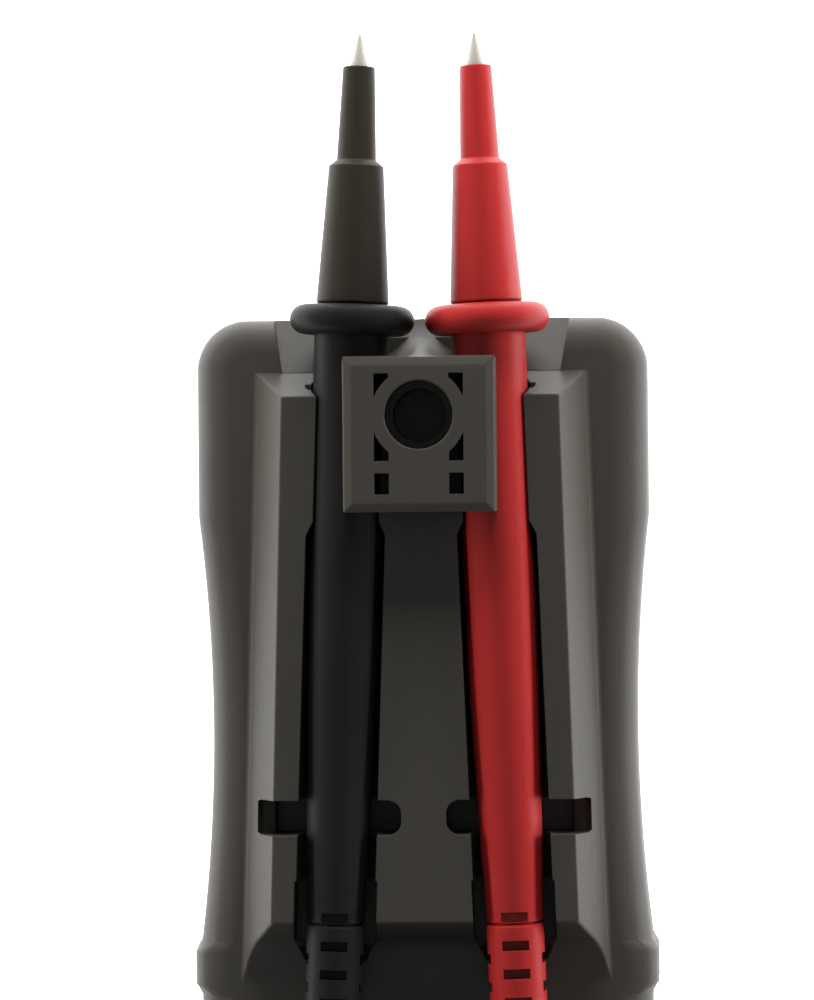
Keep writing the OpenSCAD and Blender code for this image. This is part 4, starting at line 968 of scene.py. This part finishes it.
class TESTER_OT_probe_noses(bpy.types.Operator):
    """Make the stepped noses in front of the finger guards"""

    bl_idname = "tester.probe_noses"
    bl_label = "Probe noses"

    def execute(self, context):
        p = context.scene.tester_probe
        base = p.guard_l / 2
        shoulder = base + p.cone_l
        end = shoulder + p.sleeve_l
        spigot_r = 2.28
        for name, side in SIDES:
            profile = soften(
                [
                    (p.pin_r + 0.06, base - p.spigot_l),
                    (spigot_r, base - p.spigot_l),
                    (spigot_r, base + 0.12),
                    (p.cone_base_r, base + 0.12),
                    (p.cone_tip_r, shoulder - p.shoulder_l),
                    (p.sleeve_base_r, shoulder),
                    (p.sleeve_tip_r, end),
                    (p.pin_r + 0.06, end),
                ],
                {3: 0.35, 4: 0.25, 5: 0.25, 6: 0.2},
            )
            bm = bmesh.new()
            turned(bm, profile, probe_place(side), closed=True)
            grip = f"{name}_grip"
            mesh_object(f"{name}_nose", bm, FINISH[grip], f"{name}_probe", [f"{name}_probe_nose"])
        return {"FINISHED"}


class TESTER_OT_probe_handles(bpy.types.Operator):
    """Make the handles with their round finger guards"""

    bl_idname = "tester.probe_handles"
    bl_label = "Probe handles"

    def execute(self, context):
        p = context.scene.tester_probe
        rim = p.guard_l / 2
        # The handle's swell, from the finger guard to its end: share of its length, share of the belly
        swell = ((0.46, 1), (0.6, 0.86), (0.72, 0.62), (0.81, 0.42), (0.88, 0.24), (0.94, 0.06), (0.97, 0.0), (1, -0.1))
        profile = [(p.core_r - 0.15, rim)]
        for a in [math.radians(90 - 180 * k / 20) for k in range(21)]:
            profile.append((p.guard_r - rim + rim * math.cos(a), rim * math.sin(a)))
        profile.append((p.handle_r, -rim))
        for along, share in swell:
            profile.append((p.handle_end_r + (p.belly_r - p.handle_end_r) * share, -p.handle_l * along))
        profile += [(p.core_r, -p.handle_l), (p.core_r, rim - p.spigot_l), (p.core_r - 0.15, rim - p.spigot_l)]
        for name, side in SIDES:
            place = probe_place(side)
            handle = slotted(f"{name}_handle", profile, place, 1, p.handle_l - 0.6, p.core_r + 0.1)
            settle(handle, f"{name}_probe", [f"{name}_probe_handle"])
        return {"FINISHED"}


def new_tree(name, sockets):
    """An empty geometry tree with named inputs, given by kind, and the outputs of its Group Input."""
    tree = bpy.data.node_groups.new(name, "GeometryNodeTree")
    for kind, labels in {"Geometry": ["Geometry"], **sockets}.items():
        for label in labels:
            tree.interface.new_socket(label, in_out="INPUT", socket_type=f"NodeSocket{kind}")
    tree.interface.new_socket("Geometry", in_out="OUTPUT", socket_type="NodeSocketGeometry")
    return tree, tree.nodes.new("NodeGroupInput").outputs


def slot_tree():
    """Cuts rows of slots round a turned strain relief, each second row half a pitch further on."""
    lengths = ["Pitch", "First", "Slot width", "Slot length", "Slot reach", "Floor radius"]
    tree, given = new_tree("relief_slots", {"Int": ["Slots"], "Float": lengths, "Material": ["Material"]})
    size = add(tree, "ShaderNodeCombineXYZ", {0: given["Slot width"], 1: given["Slot reach"], 2: given["Slot length"]})
    cutter = add(tree, "GeometryNodeMeshCube", {"Size": size.outputs[0]})
    half = add(tree, "ShaderNodeMath", {0: given["Slot reach"], 1: 0.5}, operation="MULTIPLY")
    out_to = add(tree, "ShaderNodeMath", {0: half.outputs[0], 1: given["Floor radius"]}, operation="ADD")
    step = add(tree, "ShaderNodeMath", {0: given["Pitch"], 1: -1.0}, operation="MULTIPLY")
    offset = add(tree, "ShaderNodeCombineXYZ", {2: step.outputs[0]})
    joined = tree.nodes.new("GeometryNodeJoinGeometry")
    for quarter in range(4):
        first = {0: given["Pitch"], 1: 0.5 * (quarter % 2), 2: given["First"]}
        first = add(tree, "ShaderNodeMath", first, operation="MULTIPLY_ADD")
        low = add(tree, "ShaderNodeMath", {0: first.outputs[0], 1: -1.0}, operation="MULTIPLY")
        start = add(tree, "ShaderNodeCombineXYZ", {1: out_to.outputs[0], 2: low.outputs[0]})
        line = {"Count": given["Slots"], "Start Location": start.outputs[0], "Offset": offset.outputs[0]}
        line = add(tree, "GeometryNodeMeshLine", line)
        row = add(tree, "GeometryNodeInstanceOnPoints", {"Points": line.outputs[0], "Instance": cutter.outputs[0]})
        spun = {"Geometry": row.outputs[0], "Rotation": (0.0, 0.0, math.radians(90 * quarter))}
        tree.links.new(add(tree, "GeometryNodeTransform", spun).outputs[0], joined.inputs[0])
    real = add(tree, "GeometryNodeRealizeInstances", {0: joined.outputs[0]})
    both = {"Mesh 1": given["Geometry"], "Mesh 2": real.outputs[0]}
    cut = add(tree, "GeometryNodeMeshBoolean", both, operation="DIFFERENCE", solver="EXACT")
    paint = add(tree, "GeometryNodeSetMaterial", {0: cut.outputs[0], "Material": given["Material"]})
    tree.links.new(paint.outputs[0], tree.nodes.new("NodeGroupOutput").inputs[0])
    return tree


def slotted(name, profile, place, count, first, floor_r):
    """A turned piece with the slots that the rule cuts in it down to a radius, moved to its place on a probe."""
    p = bpy.context.scene.tester_probe
    bm = bmesh.new()
    turned(bm, [(r * MM, z * MM) for r, z in profile], Matrix.Identity(4), closed=True)
    lengths = {
        "Pitch": p.slot_pitch,
        "First": first,
        "Slot width": p.slot_w,
        "Slot length": p.slot_l,
        "Slot reach": 2.0,
        "Floor radius": floor_r,
    }
    values = {key: length * MM for key, length in lengths.items()}
    # The handle's finish, darkened as painted shade, goes on the handle and on the strain relief
    values.update({"Slots": count, "Material": FINISH[name.split("_")[0] + "_handle"]})
    tree = bpy.data.node_groups.get("relief_slots") or slot_tree()
    piece = run_tree(placed(name, as_mesh(name, bm)), tree, values)
    place = place.copy()
    place.translation *= MM
    piece.data.transform(place)
    crisp(piece, 35)
    return piece


def run_tree(piece, tree, values):
    """Runs a geometry tree on an object and returns its result as a plain mesh object of the same name."""
    modifier = piece.modifiers.new("made_by_rule", "NODES")
    modifier.node_group = tree
    for item in tree.interface.items_tree:
        if item.in_out == "INPUT" and item.name in values:
            modifier[item.identifier] = values[item.name]
    name, old = piece.name, piece.data
    graph = bpy.context.evaluated_depsgraph_get()
    mesh = bpy.data.meshes.new_from_object(piece.evaluated_get(graph))
    bpy.data.objects.remove(piece)
    bpy.data.meshes.remove(old)
    return placed(name, mesh)


class TESTER_OT_strain_reliefs(bpy.types.Operator):
    """Make the slotted strain reliefs at the ends of the handles"""

    bl_idname = "tester.strain_reliefs"
    bl_label = "Strain reliefs"

    def execute(self, context):
        p = context.scene.tester_probe
        edge = p.slot_web
        for name, side in SIDES:
            profile = soften(
                [
                    (p.lead_r, 6.0),
                    (p.core_r - 0.06, 6.0),
                    (p.core_r - 0.06, 0),
                    (p.relief_r - edge, 0),
                    (p.relief_r, -edge),
                    (p.relief_r, -p.relief_l * 0.45),
                    (p.relief_end_r, edge - p.relief_l),
                    (p.relief_end_r - edge, -p.relief_l),
                    (p.lead_r, -p.relief_l),
                ],
                {4: 0.4, 6: 0.4},
            )
            place = probe_place(side) @ Matrix.Translation((0, 0, -p.handle_l))
            relief = slotted(f"{name}_relief", profile, place, p.slots, p.slot_pitch * 0.81, p.lead_r + p.slot_web)
            settle(relief, f"{name}_probe", [f"{name}_probe_tail"])
        return {"FINISHED"}


def screw_tree():
    """Sets a screw at every point of a mesh and gives the set its metal."""
    sockets = {"Object": ["Screw"], "Float": ["Turn"], "Material": ["Material"]}
    tree, given = new_tree("screw_set", sockets)
    one = add(tree, "GeometryNodeObjectInfo", {"Object": given["Screw"]})
    # No two screws stop at the same angle
    angle = add(tree, "FunctionNodeRandomValue", {"Min": 0.0, "Max": given["Turn"], "Seed": 7}, data_type="FLOAT")
    turn = add(tree, "ShaderNodeCombineXYZ", {2: angle.outputs[1]})
    put = {"Points": given["Geometry"], "Instance": one.outputs["Geometry"], "Rotation": turn.outputs[0]}
    put = add(tree, "GeometryNodeInstanceOnPoints", put)
    real = add(tree, "GeometryNodeRealizeInstances", {0: put.outputs[0]})
    paint = add(tree, "GeometryNodeSetMaterial", {0: real.outputs[0], "Material": given["Material"]})
    tree.links.new(paint.outputs[0], tree.nodes.new("NodeGroupOutput").inputs[0])
    return tree


def screw_form(head_r, head_h, length, shank_r):
    """One pan head screw with a cross recess and a thread, its head's top at height zero."""
    pitch, root_r = 0.9, shank_r * 0.82
    profile = [(0, 0), (head_r * 0.72, 0), (head_r * 0.93, -head_h * 0.22), (head_r, -head_h * 0.5)]
    profile += [(head_r, -head_h), (root_r, -head_h)]
    z = -head_h - pitch
    while z > -length + 2 * pitch:
        profile += [(root_r, z), (shank_r, z - pitch * 0.3), (shank_r, z - pitch * 0.4), (root_r, z - pitch * 0.7)]
        z -= pitch
    profile += [(shank_r * 0.8, -length + pitch), (shank_r * 0.3, -length), (0, -length)]
    bm = bmesh.new()
    turned(bm, profile, Matrix.Identity(4), 48)
    a, b = head_r * 0.58, head_r * 0.14
    cross = [(a, -b), (a, b), (b, b), (b, a), (-b, a), (-b, b), (-a, b), (-a, -b), (-b, -b), (-b, -a), (b, -a), (b, -b)]
    rings = [[(x * k, y * k, z) for x, y in cross] for k, z in ((0.55, -head_h * 0.7), (1.0, 0.02), (1.0, 0.5))]
    return combine(form("screw", bm), ring_form("drive", rings))


def islands(node):
    """The lowest and the highest corner, in millimetres, of each loose part of a CAD node, in a fixed order."""
    bm = bmesh.new()
    bm.from_mesh(frame["nodes"][node].data)
    bmesh.ops.remove_doubles(bm, verts=bm.verts, dist=0.001 * MM)
    done, found = set(), []
    for start in bm.verts:
        if start in done:
            continue
        done.add(start)
        reach, island = [start], []
        while reach:
            v = reach.pop()
            island.append(v.co / MM)
            for other in [e.other_vert(v) for e in v.link_edges]:
                if other not in done:
                    done.add(other)
                    reach.append(other)
        found.append([[pick(c[k] for c in island) for k in range(3)] for pick in (min, max)])
    bm.free()
    return sorted(found)


class TESTER_OT_screws(bpy.types.Operator):
    """Make the screws that hold the shells, the board and the battery door"""

    bl_idname = "tester.screws"
    bl_label = "Screws"

    def execute(self, context):
        for node, name, body, shank_r, head_h in (
            ("housing_screws", "shell_screws", "tester_body", 1.36, 1.8),
            ("board_screws", "board_screw_set", "tester_body", 0.68, 1.0),
            ("door_screw", "captive_screw", "cover_screw", 1.36, 1.1),
        ):
            # The places, head radius and length are the CAD's: one screw for each loose part of the node
            parts = islands(node)
            low, high = parts[0]
            screw = screw_form((high[0] - low[0]) / 2, head_h, high[2] - low[2], shank_r)
            screw.data.transform(Matrix.Scale(MM, 4))
            tops = [((a[0] + b[0]) / 2 * MM, (a[1] + b[1]) / 2 * MM, b[2] * MM) for a, b in parts]
            mesh = bpy.data.meshes.new(name)
            mesh.from_pydata(tops, [], [])
            tree = bpy.data.node_groups.get("screw_set") or screw_tree()
            turn = 0.0 if body == "cover_screw" else 1.5
            values = {"Screw": screw, "Turn": turn, "Material": FINISH["steel"]}
            piece = run_tree(placed(name, mesh), tree, values)
            bpy.data.objects.remove(screw)
            crisp(piece, 35)
            settle(piece, body, [node])
        return {"FINISHED"}


class TESTER_OT_door_and_keys(bpy.types.Operator):
    """Make the battery door and the two keys with eased edges"""

    bl_idname = "tester.door_and_keys"
    bl_label = "Door and keys"

    def execute(self, context):
        h = context.scene.tester_housing
        for node, name, body, slot in (
            ("battery_door", "ribbed_door", "battery_cover", "housing"),
            ("hold_button", "hold_key_cap", "hold_key", "button"),
            ("light_button", "light_key_cap", "light_key", "button"),
        ):
            eased(node, name, FINISH[slot], body, h.small_ease)
        return {"FINISHED"}


class TESTER_OT_carried_over(bpy.types.Operator):
    """Give the CAD nodes that stay their finishes"""

    bl_idname = "tester.carried_over"
    bl_label = "Inner parts"

    def execute(self, context):
        slots = {part["node"]: part["material_slot"] for part in frame["record"]["subparts"]}
        for name, item in frame["nodes"].items():
            finish = FINISH[slots[name]]
            if not item.data.materials:
                item.data.materials.append(finish)
            for place in item.material_slots:
                place.material = finish
        return {"FINISHED"}


# Studio and panel


def lamp(name, at, aim, size, watts):
    """A soft rectangular lamp that looks at a point, in millimetres."""
    data = bpy.data.lights.new(name, "AREA")
    data.shape = "RECTANGLE"
    data.size, data.size_y = size[0] * MM, size[1] * MM
    data.energy = watts
    item = placed(name, data)
    item.location = Vector(at) * MM
    item.rotation_mode = "QUATERNION"
    item.rotation_quaternion = (Vector(aim) - Vector(at)).to_track_quat("-Z", "Y")
    # The photo shows no lamp's shape in the plastic, only the white room
    item.visible_glossy = False


class TESTER_OT_studio(bpy.types.Operator):
    """Make the pale floor, the soft lamps and the camera"""

    bl_idname = "tester.studio"
    bl_label = "Studio"

    def execute(self, context):
        s = context.scene.tester_studio
        scene = context.scene
        scene.view_settings.view_transform = "Standard"

        bm = bmesh.new()
        bmesh.ops.create_grid(bm, x_segments=8, y_segments=8, size=2.5)
        # A hair under the tester, so that no face of it lies in the floor
        bmesh.ops.translate(bm, verts=bm.verts, vec=(0, 0, -0.1 * MM))
        floor = placed("floor", as_mesh("floor", bm))

        # Matt white paper: it takes the shadow, and it is white to the camera and in reflections
        material, tree, out, where = new_material("white_paper")
        tooth = add(tree, "ShaderNodeTexNoise", {"Vector": where, "Scale": 900.0})
        shade = add(tree, "ShaderNodeMapRange", {0: tooth.outputs["Fac"], 3: 0.78, 4: 0.82})
        paper = add(tree, "ShaderNodeBsdfDiffuse", {"Color": shade.outputs[0]})
        path = add(tree, "ShaderNodeLightPath").outputs
        seen = {0: path["Is Camera Ray"], 1: path["Is Glossy Ray"]}
        seen = add(tree, "ShaderNodeMath", seen, operation="MAXIMUM")
        seen = {0: seen.outputs[0], 1: path["Is Transmission Ray"]}
        seen = add(tree, "ShaderNodeMath", seen, operation="MAXIMUM")
        level = add(tree, "ShaderNodeMath", {0: seen.outputs[0], 1: 0.75}, operation="MULTIPLY")
        glow = add(tree, "ShaderNodeEmission", {"Strength": level.outputs[0]})
        both = add(tree, "ShaderNodeAddShader", {0: paper.outputs[0], 1: glow.outputs[0]})
        tree.links.new(both.outputs[0], out.inputs[0])
        floor.data.materials.append(material)

        # An even white room: plain light on the pieces, brighter in their gloss, white behind them
        world = bpy.data.worlds.new("studio_sky")
        scene.world = world
        world.use_nodes = True
        tree = world.node_tree
        tree.nodes.clear()
        path = add(tree, "ShaderNodeLightPath").outputs
        seen = {0: path["Is Camera Ray"], 1: path["Is Transmission Ray"]}
        seen = add(tree, "ShaderNodeMath", seen, operation="MAXIMUM")
        gloss = add(tree, "ShaderNodeMapRange", {0: path["Is Glossy Ray"], 3: s.sky, 4: s.sky_gloss})
        level = add(tree, "ShaderNodeMapRange", {0: seen.outputs[0], 3: gloss.outputs[0], 4: 1.0})
        sky = add(tree, "ShaderNodeBackground", {"Color": (1, 1, 1, 1), "Strength": level.outputs[0]})
        tree.links.new(sky.outputs[0], add(tree, "ShaderNodeOutputWorld").inputs[0])

        for name, x in (("lamp_left", -520), ("lamp_right", 520)):
            lamp(name, (x, 40, 85), (0, 30, 25), (420, 130), s.side_watts)
        lamp("lamp_top", (0, 560, 200), (0, 60, 20), (420, 180), s.top_watts)

        camera = bpy.data.cameras.new("camera")
        camera.sensor_width = 36.0
        camera.lens = 36.0 * s.distance / s.view_height
        camera.clip_start, camera.clip_end = 0.01, 20.0
        item = placed("camera", camera)
        back = Vector((math.sin(s.yaw), 0, math.cos(s.yaw)))
        right = Vector((math.cos(s.yaw), 0, -math.sin(s.yaw)))
        up = Vector((0, 1, 0))
        c, n = math.cos(s.roll), math.sin(s.roll)
        right, up = right * c - up * n, right * n + up * c
        item.matrix_world = Matrix.Translation(
            (Vector((s.target_x, s.target_y, s.target_z)) + back * s.distance) * MM
        ) @ Matrix((right, up, back)).transposed().to_4x4()
        scene.camera = item
        return {"FINISHED"}


class TESTER_PT_panel(bpy.types.Panel):
    """Lists the tester's pieces in the sidebar"""

    bl_idname = "TESTER_PT_panel"
    bl_label = "Voltage tester"
    bl_space_type = "VIEW_3D"
    bl_region_type = "UI"
    bl_category = "Tester"

    def draw(self, context):
        for operator in PIECES:
            self.layout.operator(operator.bl_idname)
        for group in ("tester_colours", "tester_probe", "tester_housing", "tester_studio"):
            holder = getattr(context.scene, group)
            box = self.layout.box()
            for key in holder.bl_rna.properties.keys():
                if key not in ("rna_type", "name"):
                    box.prop(holder, key)


PIECES = (
    TESTER_OT_housing,
    TESTER_OT_dock_block,
    TESTER_OT_probe_pins,
    TESTER_OT_probe_noses,
    TESTER_OT_probe_handles,
    TESTER_OT_strain_reliefs,
    TESTER_OT_screws,
    TESTER_OT_door_and_keys,
    TESTER_OT_carried_over,
    TESTER_OT_studio,
)
GROUPS = {
    "tester_colours": TesterColours,
    "tester_probe": ProbeSizes,
    "tester_housing": HousingSizes,
    "tester_studio": StudioSizes,
}


def register():
    for group in GROUPS.values():
        bpy.utils.register_class(group)
    for key, group in GROUPS.items():
        setattr(bpy.types.Scene, key, PointerProperty(type=group))
    for item in PIECES + (TESTER_PT_panel,):
        bpy.utils.register_class(item)


def unregister():
    for item in reversed(PIECES + (TESTER_PT_panel,)):
        bpy.utils.unregister_class(item)
    for key, group in GROUPS.items():
        delattr(bpy.types.Scene, key)
        bpy.utils.unregister_class(group)


def main():
    """Makes the whole tester."""
    register()
    FINISH.update(make_finishes(bpy.context.scene.tester_colours))
    for operator in PIECES:
        family, action = operator.bl_idname.split(".")
        getattr(getattr(bpy.ops, family), action)()


if __name__ == "__main__":
    main()
